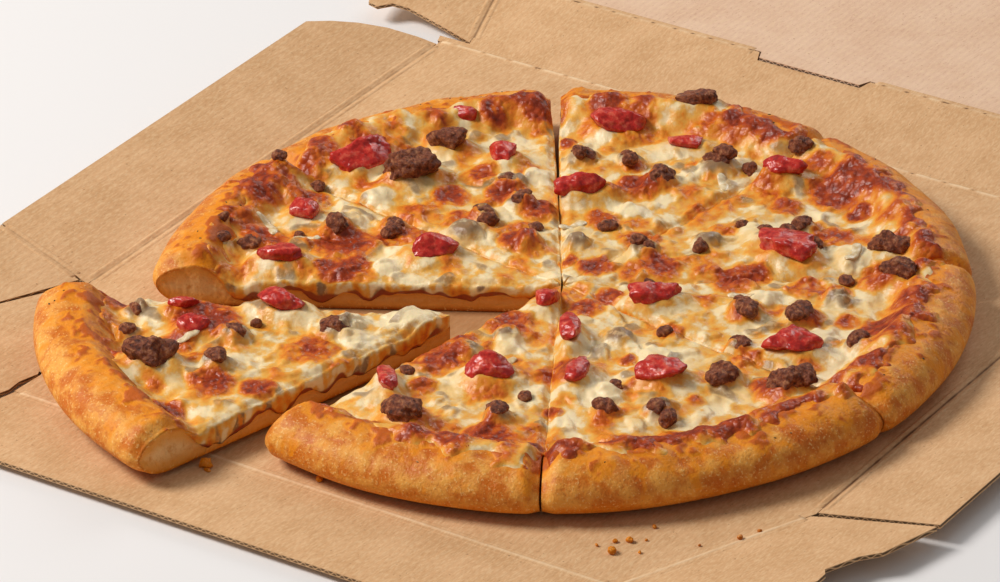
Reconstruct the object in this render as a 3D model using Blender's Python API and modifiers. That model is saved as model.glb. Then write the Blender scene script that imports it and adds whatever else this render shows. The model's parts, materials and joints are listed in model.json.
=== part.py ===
"""A medium pizza cut into eight slices, in its open corrugated box, with one slice pulled out.

The box is drawn as its flat die-cut blank in millimetres, and each wall then folds about its crease.
The pizza is turned as a disc of dough and a disc of cheese, given relief, and cut by wedges.
X runs to the right, Y to the lid's hinge, Z up; the origin is under the middle of the base panel.
"""
import math

import bpy
import bmesh
from mathutils import Matrix, Vector, noise
from mathutils.bvhtree import BVHTree

MM = 0.001

# Box blank, in millimetres
BASE_WIDTH = 312.0
BASE_DEPTH = 310.0
BOARD = 1.6
WALL = 45.0
CHAMFER_ACROSS = 33.0
CHAMFER_ALONG = 77.0
SLIT = 0.3
TONGUE = (-36.0, 14.0, 5.0)
LID_INSET = 2.0
LID_SLIT = 0.8
FLAP = 42.0
EAR_ROOM = 52.0

# Tilt of each panel at its crease, in degrees, as the box lies open
LEFT_TILT = 12.8
GUSSET_TILT = 2.0
CORNER_LEFT_TILT = 9.0
FRONT_TILT = 3.0
CORNER_RIGHT_TILT = 9.0
RIGHT_TILT = 7.5
BACK_TILT = 10.0
EAR_TILT = 8.0
LID_SLOPE = -1.3
LID_SIDE_TILT = 13.0
LID_FRONT_TILT = 8.0

# Pizza, in millimetres and degrees
PIZZA_RADIUS = 150.0
PIZZA_CENTRE = (5.2, -5.4)
RIM_HEIGHT = 20.0
DOUGH_THICKNESS = 8.0
CHEESE_THICKNESS = 4.6
CHEESE_EDGE = 19.0
REST_GAP = 0.3
TOPPING_GAP = 0.5
TURN_STEPS = 84
CUTS = (35.0, 80.0, 123.3, 172.0, 209.0, 258.0, 300.0, 352.0)
KERF = 0.8
WEDGE_FOOT = -0.01
WEDGE_TOP = 0.05
OPEN_CUT = 3
OPEN_CUT_DEGREES = 1.3
PULLED_SLICE = 5
PULLED_SHIFT = (-21.3, -40.0)
PULLED_TURN = -1.5
PULLED_PITCH = 1.3

# Toppings: slice, angle, distance from the centre, length, width, height, turn (mm and degrees)
TOMATOES = (
    (1, 75, 113, 16, 9, 6, 30), (1, 47, 84, 24, 16, 8, -10), (2, 113, 120, 17, 15, 7, 20),
    (2, 98, 114, 16, 8, 5, 25), (2, 116, 66, 22, 10, 7, 35), (3, 162, 119, 23, 14, 10, 75),
    (3, 140, 129, 11, 6, 4, 30), (3, 136, 96, 12, 10, 6, 10), (4, 184, 109, 12, 10, 6, 20),
    (4, 188, 53, 18, 13, 8, 40), (4, 203, 104, 18, 8, 6, 25), (5, 216, 60, 18, 10, 6, 15),
    (5, 224, 93, 9, 9, 6, 60), (5, 214, 97, 12, 6, 5, 40), (6, 283, 74, 17, 13, 8, 20),
    (6, 264, 98, 17, 7, 6, -50), (6, 285, 17, 9, 8, 7, 80), (7, 307, 43, 16, 7, 7, 122),
    (7, 307, 71, 15, 9, 6, 110), (7, 329, 81, 18, 14, 9, 10), (8, 8, 37, 19, 10, 7, 40),
    (8, 1, 97, 20, 16, 7, 20),
)
SAUSAGES = (
    (1, 41.5, 121, 13, 10, 8, 20), (2, 101, 136, 15, 9, 6, 30), (3, 158, 98, 19, 14, 11, 60),
    (3, 145, 114, 15, 10, 8, 20), (5, 235, 114, 17, 12, 9, 20), (6, 274, 114, 14, 12, 8, 0),
    (7, 346.5, 115, 14, 12, 9, 70), (8, 30, 123, 15, 9, 8, 25),
)

# Small crumbs fused to the cheese: slice, angle, distance from the centre, diameter
CRUMBS = (
    (1, 76, 118, 8), (1, 62, 60, 9), (1, 70, 38, 10), (1, 56, 96, 9), (2, 89, 104, 13), (2, 118, 96, 9),
    (2, 108, 97, 9), (2, 97, 84, 11), (2, 112, 30, 9), (3, 166, 52, 12), (3, 152, 60, 9), (3, 137, 62, 10),
    (3, 137, 80, 10), (3, 146, 33, 10), (4, 186, 93, 11), (4, 196, 101, 8), (4, 198, 118, 10),
    (4, 180, 118, 8), (4, 178, 76, 9), (5, 214, 114, 8), (5, 221, 117, 8), (5, 233, 44, 12),
    (5, 228, 80, 11), (5, 240, 92, 10), (6, 268, 60, 9), (6, 290, 100, 9), (6, 276, 44, 8),
    (7, 341, 93, 12), (7, 322, 102, 10), (7, 329, 47, 9), (7, 312, 96, 9), (8, 12, 70, 11),
    (8, 14, 90, 11), (8, 7, 117, 10), (8, 24, 100, 9), (8, 355, 80, 9),
)

HALF_WIDTH = BASE_WIDTH / 2
HALF_DEPTH = BASE_DEPTH / 2
CHAMFER_REAR_Y = CHAMFER_ALONG - HALF_DEPTH
CHAMFER_FRONT_X = HALF_WIDTH - CHAMFER_ACROSS


def clear_scene():
    """Remove what a new file starts with."""
    for obj in list(bpy.data.objects):
        bpy.data.objects.remove(obj, do_unlink=True)


def new_collection(name):
    """Make a collection in the scene."""
    collection = bpy.data.collections.new(name)
    bpy.context.scene.collection.children.link(collection)
    return collection


def make_material(name, colour, roughness):
    """Make a plain Principled material; colour is linear RGB."""
    material = bpy.data.materials.new(name)
    material.use_nodes = True
    shader = material.node_tree.nodes["Principled BSDF"]
    shader.inputs["Base Color"].default_value = (*colour, 1.0)
    shader.inputs["Roughness"].default_value = roughness
    shader.inputs["Metallic"].default_value = 0.0
    material.diffuse_color = (*colour, 1.0)
    return material


def add_object(name, data, collection, parent=None):
    """Link a new object, under its parent if it has one."""
    obj = bpy.data.objects.new(name, data)
    collection.objects.link(obj)
    obj.parent = parent
    return obj


class Fold:
    """A crease of the blank: a flat frame whose X runs along it and whose Y points to the panel."""

    def __init__(self, name, start, end, tilt, parts, parent=None):
        along = Vector(end) - Vector(start)
        turn = Matrix.Rotation(math.atan2(along.y, along.x), 4, "Z")
        self.flat = Matrix.Translation((start[0] * MM, start[1] * MM, BOARD * MM)) @ turn
        self.empty = add_object(name, None, parts, parent.empty if parent else None)
        before = parent.flat.inverted() if parent else Matrix()
        self.empty.matrix_local = before @ self.flat @ Matrix.Rotation(math.radians(tilt), 4, "X")


def panel(name, outline, parts, material, fold=None):
    """Cut a panel from the board: its outline is in the blank's flat millimetres."""
    curve = bpy.data.curves.new(name, "CURVE")
    curve.dimensions = "2D"
    curve.fill_mode = "BOTH"
    curve.extrude = BOARD * MM / 2
    spline = curve.splines.new("POLY")
    spline.points.add(len(outline) - 1)
    spline.use_cyclic_u = True
    to_panel = fold.flat.inverted() if fold else Matrix.Translation((0, 0, -BOARD * MM))
    for point, (x, y) in zip(spline.points, outline):
        local = to_panel @ Vector((x * MM, y * MM, BOARD * MM))
        point.co = (local.x, local.y, 0.0, 1.0)
    curve.materials.append(material)
    obj = add_object(name, curve, parts, fold.empty if fold else None)
    obj.location.z = -BOARD * MM / 2 if fold else BOARD * MM / 2
    return obj


def mirrored(outline):
    """Mirror an outline to the box's other side, keeping its direction round."""
    return [(-x, y) for x, y in reversed(outline)]


def side_wall_outline():
    """The left wall: tapered and rounded at its rear end, cut along the corner fold in front."""
    inner = -HALF_WIDTH - SLIT
    outer = -HALF_WIDTH - WALL
    front = CHAMFER_REAR_Y + 0.8
    return [(inner, front), (inner, 152.5), (inner - 8, 151.0), (inner - 20, 147.0), (inner - 30, 141.0),
            (inner - 38, 134.0), (outer, 126.0), (outer, front + 6.5)]


def gusset_outline():
    """The small triangle between the left wall's corner fold and the slit beside the corner wall."""
    fold_start = (-HALF_WIDTH - 4.0, CHAMFER_REAR_Y + 0.2)
    fold_end = (-HALF_WIDTH - WALL, CHAMFER_REAR_Y + 6.5)
    return [fold_start, fold_end, (-176.5, -128.0)]


def corner_left_outline():
    """The left corner wall: slit from the gusset, and torn from the front wall along its end."""
    return [(-131.0, -141.0), (-156.8, -82.0), (-159.2, -82.5), (-178.0, -133.5), (-168.0, -165.0),
            (-150.0, -178.0), (-137.0, -173.0), (-133.4, -164.0), (-131.9, -157.0), (-132.6, -150.0)]


def corner_right_outline():
    """The right corner wall with its gusset in one piece, and the small steps of its locking edge."""
    return [(122.9 + 0.6, -155.9), (128.0, -168.0), (148.0, -198.0), (166.0, -169.0), (185.5, -126.0),
            (185.0, -120.0), (183.0, -117.0), (188.5, -104.0), (194.5, -98.0), (201.0, -73.0),
            (160.0, -79.6), (155.4, -80.6)]


def base_outline():
    """The base panel: square behind, with two long chamfers in front and the torn bit at the left."""
    return [(-HALF_WIDTH, HALF_DEPTH), (-HALF_WIDTH, CHAMFER_REAR_Y), (-130.0, -140.5),
            (-131.0, -HALF_DEPTH), (CHAMFER_FRONT_X, -HALF_DEPTH), (HALF_WIDTH, CHAMFER_REAR_Y),
            (HALF_WIDTH, HALF_DEPTH)]


def front_wall_outline():
    """The front wall, whose left end follows the torn corner wall."""
    inner = -HALF_DEPTH - SLIT
    outer = -HALF_DEPTH - WALL
    return [(-130.4, inner), (-132.0, -163.0), (-135.0, -172.0), (-128.0, -190.0), (-118.0, outer),
            (138.0, outer), (145.5, -197.0), (126.5, -168.0), (122.2, inner)]


def back_wall_outline():
    """The back wall, with strips beside its ears and the lid's step along the hinge."""
    inner = HALF_DEPTH + SLIT
    outer = HALF_DEPTH + WALL
    tongue_left, tongue_right, tongue_depth = TONGUE
    return [(-157.5, inner), (157.5, inner), (158.5, inner + 3.2), (144.5, inner + 3.2), (156.0, outer),
            (tongue_right, outer), (tongue_right - 2, outer - tongue_depth),
            (tongue_left + 2, outer - tongue_depth), (tongue_left, outer), (-156.0, outer),
            (-144.5, inner + 3.2), (-158.5, inner + 3.2)]


def ear_crease(side):
    """The two ends of an ear's crease on the blank; side is -1 on the left."""
    return (side * 144.2, HALF_DEPTH + 4.2), (side * 155.7, HALF_DEPTH + WALL)


def ear_outline():
    """The left ear: a flap with a notched lower edge and a hooked tip."""
    lower = HALF_DEPTH + 4.2
    return [(-144.9, lower), (-156.5, HALF_DEPTH + WALL - 1.5), (-190.0, 193.0), (-199.0, 182.0),
            (-196.5, 168.0), (-192.5, 159.0), (-188.0, 158.5), (-184.0, 163.5), (-177.0, 164.5),
            (-160.0, 162.0)]


def lid_outline():
    """The lid: square behind with a tongue at its hinge, chamfered in front like the base."""
    near = HALF_DEPTH + WALL + LID_SLIT
    far = HALF_DEPTH + WALL + BASE_DEPTH
    side = HALF_WIDTH - LID_INSET
    tongue_left, tongue_right, tongue_depth = TONGUE
    return [(-side, near), (tongue_left + 0.5, near), (tongue_left + 2.5, near - tongue_depth),
            (tongue_right - 2.5, near - tongue_depth), (tongue_right - 0.5, near), (side, near),
            (side, far - CHAMFER_ALONG), (CHAMFER_FRONT_X, far), (-CHAMFER_FRONT_X, far),
            (-side, far - CHAMFER_ALONG)]


def lid_side_flap_outline():
    """The lid's left flap: it starts clear of the back wall's ear and tapers to tuck in the box."""
    inner = -HALF_WIDTH + LID_INSET - SLIT
    near = HALF_DEPTH + WALL + EAR_ROOM
    far = HALF_DEPTH + WALL + BASE_DEPTH - CHAMFER_ALONG
    outer = inner - FLAP
    return [(inner, near), (inner, far), (outer + 6, far - 8), (outer, far - 16), (outer, near + 22),
            (outer + 6, near + 13)]


def lid_front_flap_outline():
    """The lid's front tuck flap with rounded corners."""
    inner = HALF_DEPTH + WALL + BASE_DEPTH + 2 * SLIT
    outer = inner + FLAP
    near_x = CHAMFER_FRONT_X - 1.0
    return [(-near_x, inner), (near_x, inner), (near_x - 6, outer - 10), (near_x - 14, outer - 2),
            (near_x - 22, outer), (22 - near_x, outer), (14 - near_x, outer - 2), (6 - near_x, outer - 10)]


def build_box(parts):
    """Fold the blank: the walls, the corners and ears, and the lid lying back."""
    kraft = make_material("kraft_board", (0.64, 0.43, 0.26), 0.9)
    w, d, wall = HALF_WIDTH, HALF_DEPTH, WALL
    hinge_y = d + wall
    lid_y = hinge_y + BASE_DEPTH + SLIT
    lid_x = w - LID_INSET

    left = Fold("left_wall_fold", (-w, -d), (-w, d), LEFT_TILT, parts)
    gusset = Fold("gusset_left_fold", (-w, CHAMFER_REAR_Y + 0.8), (-w - wall, CHAMFER_REAR_Y + 6.8),
                  GUSSET_TILT, parts, left)
    corner_left = Fold("corner_left_fold", (-CHAMFER_FRONT_X, -d), (-w, CHAMFER_REAR_Y),
                       CORNER_LEFT_TILT, parts)
    front = Fold("front_wall_fold", (w, -d), (-w, -d), FRONT_TILT, parts)
    corner_right = Fold("corner_right_fold", (w, CHAMFER_REAR_Y), (CHAMFER_FRONT_X, -d),
                        CORNER_RIGHT_TILT, parts)
    right = Fold("right_wall_fold", (w, d), (w, -d), RIGHT_TILT, parts)
    back = Fold("back_wall_fold", (-w, d), (w, d), BACK_TILT, parts)
    ear_left_start, ear_left_end = ear_crease(-1)
    ear_left = Fold("ear_left_fold", ear_left_start, ear_left_end, EAR_TILT, parts, back)
    ear_right_start, ear_right_end = ear_crease(1)
    ear_right = Fold("ear_right_fold", ear_right_end, ear_right_start, EAR_TILT, parts, back)
    lid = Fold("lid_fold", (-w, hinge_y), (w, hinge_y), LID_SLOPE - BACK_TILT, parts, back)
    lid_left = Fold("lid_flap_left_fold", (-lid_x, hinge_y), (-lid_x, lid_y), LID_SIDE_TILT, parts, lid)
    lid_right = Fold("lid_flap_right_fold", (lid_x, lid_y), (lid_x, hinge_y), LID_SIDE_TILT, parts, lid)
    lid_front = Fold("lid_flap_front_fold", (-w, lid_y), (w, lid_y), LID_FRONT_TILT, parts, lid)

    panel("base", base_outline(), parts, kraft)
    panel("left_wall", side_wall_outline(), parts, kraft, left)
    panel("gusset_left", gusset_outline(), parts, kraft, gusset)
    panel("corner_left", corner_left_outline(), parts, kraft, corner_left)
    panel("front_wall", front_wall_outline(), parts, kraft, front)
    panel("corner_right", corner_right_outline(), parts, kraft, corner_right)
    panel("right_wall", mirrored(side_wall_outline()), parts, kraft, right)
    panel("back_wall", back_wall_outline(), parts, kraft, back)
    panel("ear_left", ear_outline(), parts, kraft, ear_left)
    panel("ear_right", mirrored(ear_outline()), parts, kraft, ear_right)
    panel("lid", lid_outline(), parts, kraft, lid)
    panel("lid_flap_left", lid_side_flap_outline(), parts, kraft, lid_left)
    panel("lid_flap_right", mirrored(lid_side_flap_outline()), parts, kraft, lid_right)
    panel("lid_flap_front", lid_front_flap_outline(), parts, kraft, lid_front)


def turned_disc(name, profile, collection):
    """Turn a profile, given from its top centre out and back along the bottom, and make it a mesh."""
    mesh = bpy.data.meshes.new(name + "_profile")
    points = [(r * MM, 0.0, z * MM) for r, z in profile]
    mesh.from_pydata(points, [(i, i + 1) for i in range(len(points) - 1)], [])
    obj = add_object(name, mesh, collection)
    screw = obj.modifiers.new("turn", "SCREW")
    screw.axis = "Z"
    screw.steps = TURN_STEPS
    screw.render_steps = TURN_STEPS
    screw.use_merge_vertices = True
    screw.merge_threshold = 0.00001
    apply_modifiers(obj)
    return obj


def apply_modifiers(obj):
    """Replace the object's mesh by its evaluated one and clear its modifiers."""
    graph = bpy.context.evaluated_depsgraph_get()
    mesh = bpy.data.meshes.new_from_object(obj.evaluated_get(graph), depsgraph=graph)
    obj.modifiers.clear()
    obj.data = mesh


def rim_reach(angle):
    """How far the crust stands out past the nominal radius at this angle, in millimetres."""
    around = Vector((math.cos(angle), math.sin(angle), 0.3))
    return 1.3 * noise.noise(around * 2.1) + 0.5 * noise.noise(around * 6.0)


def dough_shape(co):
    """Relief of the dough: an uneven outline and a rim that rises and falls as it goes round."""
    r = math.hypot(co.x, co.y) / MM
    angle = math.atan2(co.y, co.x)
    share = min(max((r - 100.0) / (PIZZA_RADIUS - 100.0), 0.0), 1.0) ** 2
    scale = 1.0 + rim_reach(angle) * share / PIZZA_RADIUS
    lift = 1.0 + 0.10 * share * noise.noise(Vector((co.x, co.y, 0.0)) * 28.0)
    return Vector((co.x * scale, co.y * scale, co.z * lift))


def cheese_shape(co, underside):
    """Relief of the cheese: soft mounds on top, an uneven edge, and the dough's shape below."""
    place = dough_shape(co)
    if underside:
        return place
    r = math.hypot(co.x, co.y) / MM
    fade = min(max((PIZZA_RADIUS - CHEESE_EDGE - r) / 12.0, 0.0), 1.0)
    mounds = 1.5 * noise.noise(Vector((co.x, co.y, 0.01)) * 62.0)
    mounds += 0.9 * noise.noise(Vector((co.x, co.y, 0.05)) * 120.0)
    place.z += mounds * fade * MM
    return place


def dough_profile():
    """The slice's side: thin inside, a round puffed rim, and an underside that curls up at the edge."""
    edge, high, thin = PIZZA_RADIUS, RIM_HEIGHT, DOUGH_THICKNESS
    return [(0, thin), (60, thin), (100, thin), (edge - 30, thin), (edge - 26, thin + 2.0),
            (edge - 22, thin + 5.5), (edge - CHEESE_EDGE, thin + 8.4), (edge - 15, high - 1.4),
            (edge - 11, high), (edge - 6, high - 1.4), (edge - 2, high - 5.5), (edge, high - 10.5),
            (edge - 1.5, 4.6), (edge - 5, 1.3), (edge - 11, 0), (60, 0), (0, 0)]


def cheese_profile():
    """A blanket on the dough: thick inside, thin where it climbs the rim."""
    edge, thin, top = PIZZA_RADIUS, DOUGH_THICKNESS + REST_GAP, DOUGH_THICKNESS + CHEESE_THICKNESS
    rings = [(r, top) for r in range(0, 113, 8)]
    return rings + [(edge - 30, top + 0.4), (edge - 26, top + 1.6), (edge - 22, top + 3.2),
                    (edge - CHEESE_EDGE - 0.6, top + 4.6), (edge - CHEESE_EDGE, thin + 8.4),
                    (edge - 22, thin + 5.5), (edge - 26, thin + 2.0), (edge - 30, thin), (100, thin),
                    (60, thin), (0, thin)]


def shape_disc(obj, rule):
    """Move every vertex of a disc by a rule."""
    for vertex in obj.data.vertices:
        vertex.co = rule(vertex.co.copy())


def shape_cheese(obj):
    """Give the cheese its relief; its underside is told from its top by the vertex's height."""
    for vertex in obj.data.vertices:
        r = math.hypot(vertex.co.x, vertex.co.y) / MM
        climb = min(max((r - (PIZZA_RADIUS - 30)) / 11.0, 0.0), 1.0) * 8.4
        middle = DOUGH_THICKNESS + climb + CHEESE_THICKNESS / 2 * (1.0 - 0.9 * climb / 8.4)
        vertex.co = cheese_shape(vertex.co.copy(), vertex.co.z / MM < middle)


def slice_angles(number):
    """The two cut angles of a slice in degrees; one cut stands open at the rim."""
    start = CUTS[number - 1]
    end = CUTS[number % 8] + (360.0 if number == 8 else 0.0)
    if number == OPEN_CUT:
        start += OPEN_CUT_DEGREES
    return start, end


def wedge(number, cutters):
    """A cutter: a tall wedge between two cuts, drawn in by half the kerf on each side."""
    start, end = (math.radians(a) for a in slice_angles(number))
    middle = (start + end) / 2
    apex = KERF / 2 / math.sin((end - start) / 2) * MM
    reach = (PIZZA_RADIUS + 40) * MM
    mesh = bmesh.new()
    corners = []
    for angle, length in ((0, 0), (start, reach), (middle, reach * 1.2), (end, reach)):
        x = apex * math.cos(middle) + length * math.cos(angle)
        y = apex * math.sin(middle) + length * math.sin(angle)
        corners.append(mesh.verts.new((x, y, WEDGE_FOOT)))
    face = mesh.faces.new(corners)
    raised = bmesh.ops.extrude_face_region(mesh, geom=[face])["geom"]
    bmesh.ops.translate(mesh, vec=(0, 0, WEDGE_TOP - WEDGE_FOOT),
                        verts=[item for item in raised if isinstance(item, bmesh.types.BMVert)])
    bmesh.ops.recalc_face_normals(mesh, faces=mesh.faces)
    data = bpy.data.meshes.new(f"wedge_{number}")
    mesh.to_mesh(data)
    mesh.free()
    obj = add_object(f"wedge_{number}", data, cutters)
    obj.hide_render = True
    obj.display_type = "WIRE"
    return obj


def cut_slice(name, disc, cutter, parts, material, parent):
    """Cut one slice from a disc with its wedge."""
    obj = add_object(name, disc.data.copy(), parts)
    boolean = obj.modifiers.new("cut", "BOOLEAN")
    boolean.operation = "INTERSECT"
    boolean.solver = "EXACT"
    boolean.object = cutter
    bpy.context.view_layer.update()
    apply_modifiers(obj)
    obj.data.name = name
    obj.data.materials.clear()
    obj.data.materials.append(material)
    obj.parent = parent
    return obj


def lump_mesh(name, size, squareness, seed, subdivisions):
    """A lumpy piece on a flat foot: a ball, squared off and dented by noise, cut flat below."""
    mesh = bmesh.new()
    bmesh.ops.create_icosphere(mesh, subdivisions=subdivisions, radius=1.0)
    length, width, height = (s * MM for s in size)
    for vertex in mesh.verts:
        co = vertex.co
        dent = 1.0 + 0.16 * noise.noise(co * 1.7 + Vector((seed * 3.1, 0, seed)))
        squared = [math.copysign(abs(c) ** squareness, c) * dent for c in co]
        flat = max(squared[2], -0.35)
        vertex.co = (squared[0] * length / 2, squared[1] * width / 2, (flat + 0.35) * height / 1.35)
    data = bpy.data.meshes.new(name)
    mesh.to_mesh(data)
    mesh.free()
    return data


def polar(angle, distance):
    """A place on the pizza from its angle in degrees and distance in millimetres."""
    turn = math.radians(angle)
    return Vector((math.cos(turn) * distance * MM, math.sin(turn) * distance * MM, 0.0))


def height_at(trees, x, y):
    """The height of the food under a place, cast down onto the cheese and dough."""
    hits = [tree.ray_cast(Vector((x, y, 0.08)), Vector((0, 0, -1)))[0] for tree in trees]
    heights = [hit.z for hit in hits if hit is not None]
    return max(heights) if heights else DOUGH_THICKNESS * MM


def place_lump(obj, trees, cheese, angle, distance, size, turn):
    """Set a topping on the cheese: lean it with the slope, then raise it clear by its gap."""
    centre = polar(angle, distance)
    reach = max(size[0], size[1]) / 2 * MM
    slope_x = height_at(trees, centre.x + reach, centre.y) - height_at(trees, centre.x - reach, centre.y)
    slope_y = height_at(trees, centre.x, centre.y + reach) - height_at(trees, centre.x, centre.y - reach)
    normal = Vector((-slope_x, -slope_y, 2 * reach)).normalized()
    lean = Vector((0, 0, 1)).rotation_difference(normal).to_matrix().to_4x4()
    pose = Matrix.Translation(centre) @ lean @ Matrix.Rotation(math.radians(turn), 4, "Z")
    obj.data.transform(pose)
    lift = -1.0
    for vertex in obj.data.vertices:
        lift = max(lift, height_at(trees, vertex.co.x, vertex.co.y) - vertex.co.z)
    own = BVHTree.FromPolygons([v.co for v in obj.data.vertices], [p.vertices for p in obj.data.polygons])
    for vertex in cheese.data.vertices:
        if (vertex.co.xy - centre.xy).length < reach * 1.6:
            hit = own.ray_cast(Vector((vertex.co.x, vertex.co.y, -0.05)), Vector((0, 0, 1)))[0]
            if hit is not None:
                lift = max(lift, vertex.co.z - hit.z)
    obj.data.transform(Matrix.Translation((0, 0, lift + TOPPING_GAP * MM)))


def bvh_of(objects):
    """A search tree of each object's mesh."""
    return [BVHTree.FromPolygons([v.co for v in o.data.vertices], [p.vertices for p in o.data.polygons])
            for o in objects]


def fuse_crumbs(number, cheese, dough, parts):
    """Join the small crumbs of one slice to its cheese by one union, and remove them."""
    crumbs = bpy.data.collections.new(f"crumbs_{number}")
    parts.children.link(crumbs)
    trees = bvh_of([cheese, dough])
    for index, (owner, angle, distance, size) in enumerate(CRUMBS):
        if owner != number:
            continue
        data = lump_mesh(f"crumb_{index}", (size, size * 0.8, size * 0.75), 0.9, index, 2)
        centre = polar(angle, distance)
        centre.z = height_at(trees, centre.x, centre.y) - 0.16 * size * MM
        turn = Matrix.Rotation(index * 1.3, 4, "Z")
        data.transform(Matrix.Translation(centre) @ turn)
        add_object(f"crumb_{index}", data, crumbs, cheese.parent)
    boolean = cheese.modifiers.new("fuse", "BOOLEAN")
    boolean.operation = "UNION"
    boolean.solver = "EXACT"
    boolean.operand_type = "COLLECTION"
    boolean.collection = crumbs
    bpy.context.view_layer.update()
    apply_modifiers(cheese)
    for crumb in list(crumbs.objects):
        bpy.data.objects.remove(crumb, do_unlink=True)
    bpy.data.collections.remove(crumbs)


def pulled_matrix():
    """Where the pulled slice lies: shifted out, turned a little, and propped up at its crust."""
    start, end = slice_angles(PULLED_SLICE)
    outward = math.radians((start + end) / 2 + PULLED_TURN)
    axis = Vector((math.sin(outward), -math.cos(outward), 0.0))
    shift = Matrix.Translation((PULLED_SHIFT[0] * MM, PULLED_SHIFT[1] * MM, 0.0))
    pitch = Matrix.Rotation(math.radians(PULLED_PITCH), 4, axis)
    return shift @ pitch @ Matrix.Rotation(math.radians(PULLED_TURN), 4, "Z")


def build_pizza(parts, cutters):
    """Turn the discs, cut the slices, and set the toppings on them."""
    crust = make_material("baked_crust", (0.58, 0.24, 0.06), 0.7)
    cheese_material = make_material("melted_cheese", (0.72, 0.50, 0.20), 0.35)
    tomato = make_material("diced_tomato", (0.50, 0.04, 0.03), 0.3)
    sausage = make_material("sausage_crumble", (0.17, 0.08, 0.05), 0.6)

    plate = add_object("pizza_place", None, parts)
    plate.location = (PIZZA_CENTRE[0] * MM, PIZZA_CENTRE[1] * MM, (BOARD + REST_GAP) * MM)
    pulled = add_object("pulled_place", None, parts, plate)
    pulled.matrix_local = pulled_matrix()

    dough_disc = turned_disc("dough_disc", dough_profile(), cutters)
    cheese_disc = turned_disc("cheese_disc", cheese_profile(), cutters)
    shape_disc(dough_disc, dough_shape)
    shape_cheese(cheese_disc)

    slices = {}
    for number in range(1, 9):
        place = pulled if number == PULLED_SLICE else plate
        cutter = wedge(number, cutters)
        dough = cut_slice(f"dough_{number}", dough_disc, cutter, parts, crust, place)
        cheese = cut_slice(f"cheese_{number}", cheese_disc, cutter, parts, cheese_material, place)
        fuse_crumbs(number, cheese, dough, parts)
        slices[number] = (cheese, dough, place)

    for kind, rows, material, squareness in (("tomato", TOMATOES, tomato, 0.6),
                                             ("sausage", SAUSAGES, sausage, 0.85)):
        for index, (number, angle, distance, length, width, height, turn) in enumerate(rows, 1):
            cheese, dough, place = slices[number]
            name = f"{kind}_{index}"
            data = lump_mesh(name, (length, width, height), squareness, index + len(kind), 2)
            data.materials.append(material)
            obj = add_object(name, data, parts)
            trees = bvh_of([cheese, dough])
            place_lump(obj, trees, cheese, angle, distance, (length, width, height), turn)
            obj.parent = place

    for disc in (dough_disc, cheese_disc):
        bpy.data.objects.remove(disc, do_unlink=True)


def main():
    """Build the whole object."""
    clear_scene()
    parts = new_collection("pizza_in_box")
    cutters = new_collection("cutters")
    build_box(parts)
    build_pizza(parts, cutters)
    bpy.context.view_layer.update()


main()
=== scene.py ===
import json
import math

import bmesh
import bpy
import numpy as np
from mathutils import Matrix, Vector

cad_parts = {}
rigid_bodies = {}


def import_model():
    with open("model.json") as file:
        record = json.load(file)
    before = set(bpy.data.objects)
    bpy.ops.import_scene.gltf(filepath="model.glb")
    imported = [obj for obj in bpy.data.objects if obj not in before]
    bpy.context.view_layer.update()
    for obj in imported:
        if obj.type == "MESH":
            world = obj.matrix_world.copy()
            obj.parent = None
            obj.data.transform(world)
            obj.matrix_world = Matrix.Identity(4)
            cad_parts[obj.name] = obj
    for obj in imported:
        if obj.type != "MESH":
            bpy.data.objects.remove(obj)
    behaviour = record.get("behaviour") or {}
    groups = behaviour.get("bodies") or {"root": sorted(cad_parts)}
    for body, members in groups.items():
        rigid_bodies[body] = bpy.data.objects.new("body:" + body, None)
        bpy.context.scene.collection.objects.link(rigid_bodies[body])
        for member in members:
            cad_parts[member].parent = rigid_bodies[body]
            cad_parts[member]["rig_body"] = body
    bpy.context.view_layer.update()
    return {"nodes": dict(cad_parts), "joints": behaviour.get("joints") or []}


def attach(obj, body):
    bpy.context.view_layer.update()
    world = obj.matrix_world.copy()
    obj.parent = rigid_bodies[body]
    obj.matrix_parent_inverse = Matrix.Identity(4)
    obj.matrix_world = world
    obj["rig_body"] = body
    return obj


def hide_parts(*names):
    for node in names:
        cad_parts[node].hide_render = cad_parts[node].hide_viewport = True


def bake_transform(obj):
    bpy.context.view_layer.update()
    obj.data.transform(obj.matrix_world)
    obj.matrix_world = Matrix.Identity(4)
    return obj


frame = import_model()


# Camera
# A long lens at the box's right front corner, about 29 degrees above the table, aimed between the
# middle of the pizza and the slice that is pulled out. Its slight roll is the photograph's.
AIM = Vector((-0.0239, -0.0026, 0.0016))
CAMERA_DISTANCE = 2.331
AZIMUTH, ELEVATION, ROLL = (math.radians(a) for a in (34.0, 28.85, -1.2))

back = Vector((math.sin(AZIMUTH) * math.cos(ELEVATION), -math.cos(AZIMUTH) * math.cos(ELEVATION),
               math.sin(ELEVATION)))
level = Vector((math.cos(AZIMUTH), math.sin(AZIMUTH), 0.0))
upright = back.cross(level)
right = level * math.cos(ROLL) + upright * math.sin(ROLL)
up = upright * math.cos(ROLL) - level * math.sin(ROLL)
camera = bpy.data.objects.new("camera", bpy.data.cameras.new("camera"))
camera.data.lens = 229.4
camera.data.sensor_width = 36.0
camera.data.clip_start, camera.data.clip_end = 0.1, 50.0
camera.matrix_world = (Matrix.Translation(AIM + back * CAMERA_DISTANCE)
                       @ Matrix((right, up, back)).transposed().to_4x4())
bpy.context.scene.collection.objects.link(camera)
bpy.context.scene.camera = camera


# Studio
# A pale laminate table under one large soft light at the left of the view, a weaker one behind, and an
# even pale surround that fills the shadows.
def hex_colour(code):
    """The linear RGBA of an sRGB colour written as rrggbb."""
    parts = [int(code[i:i + 2], 16) / 255 for i in (0, 2, 4)]
    return tuple(p / 12.92 if p <= 0.04045 else ((p + 0.055) / 1.055) ** 2.4 for p in parts) + (1.0,)


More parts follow.
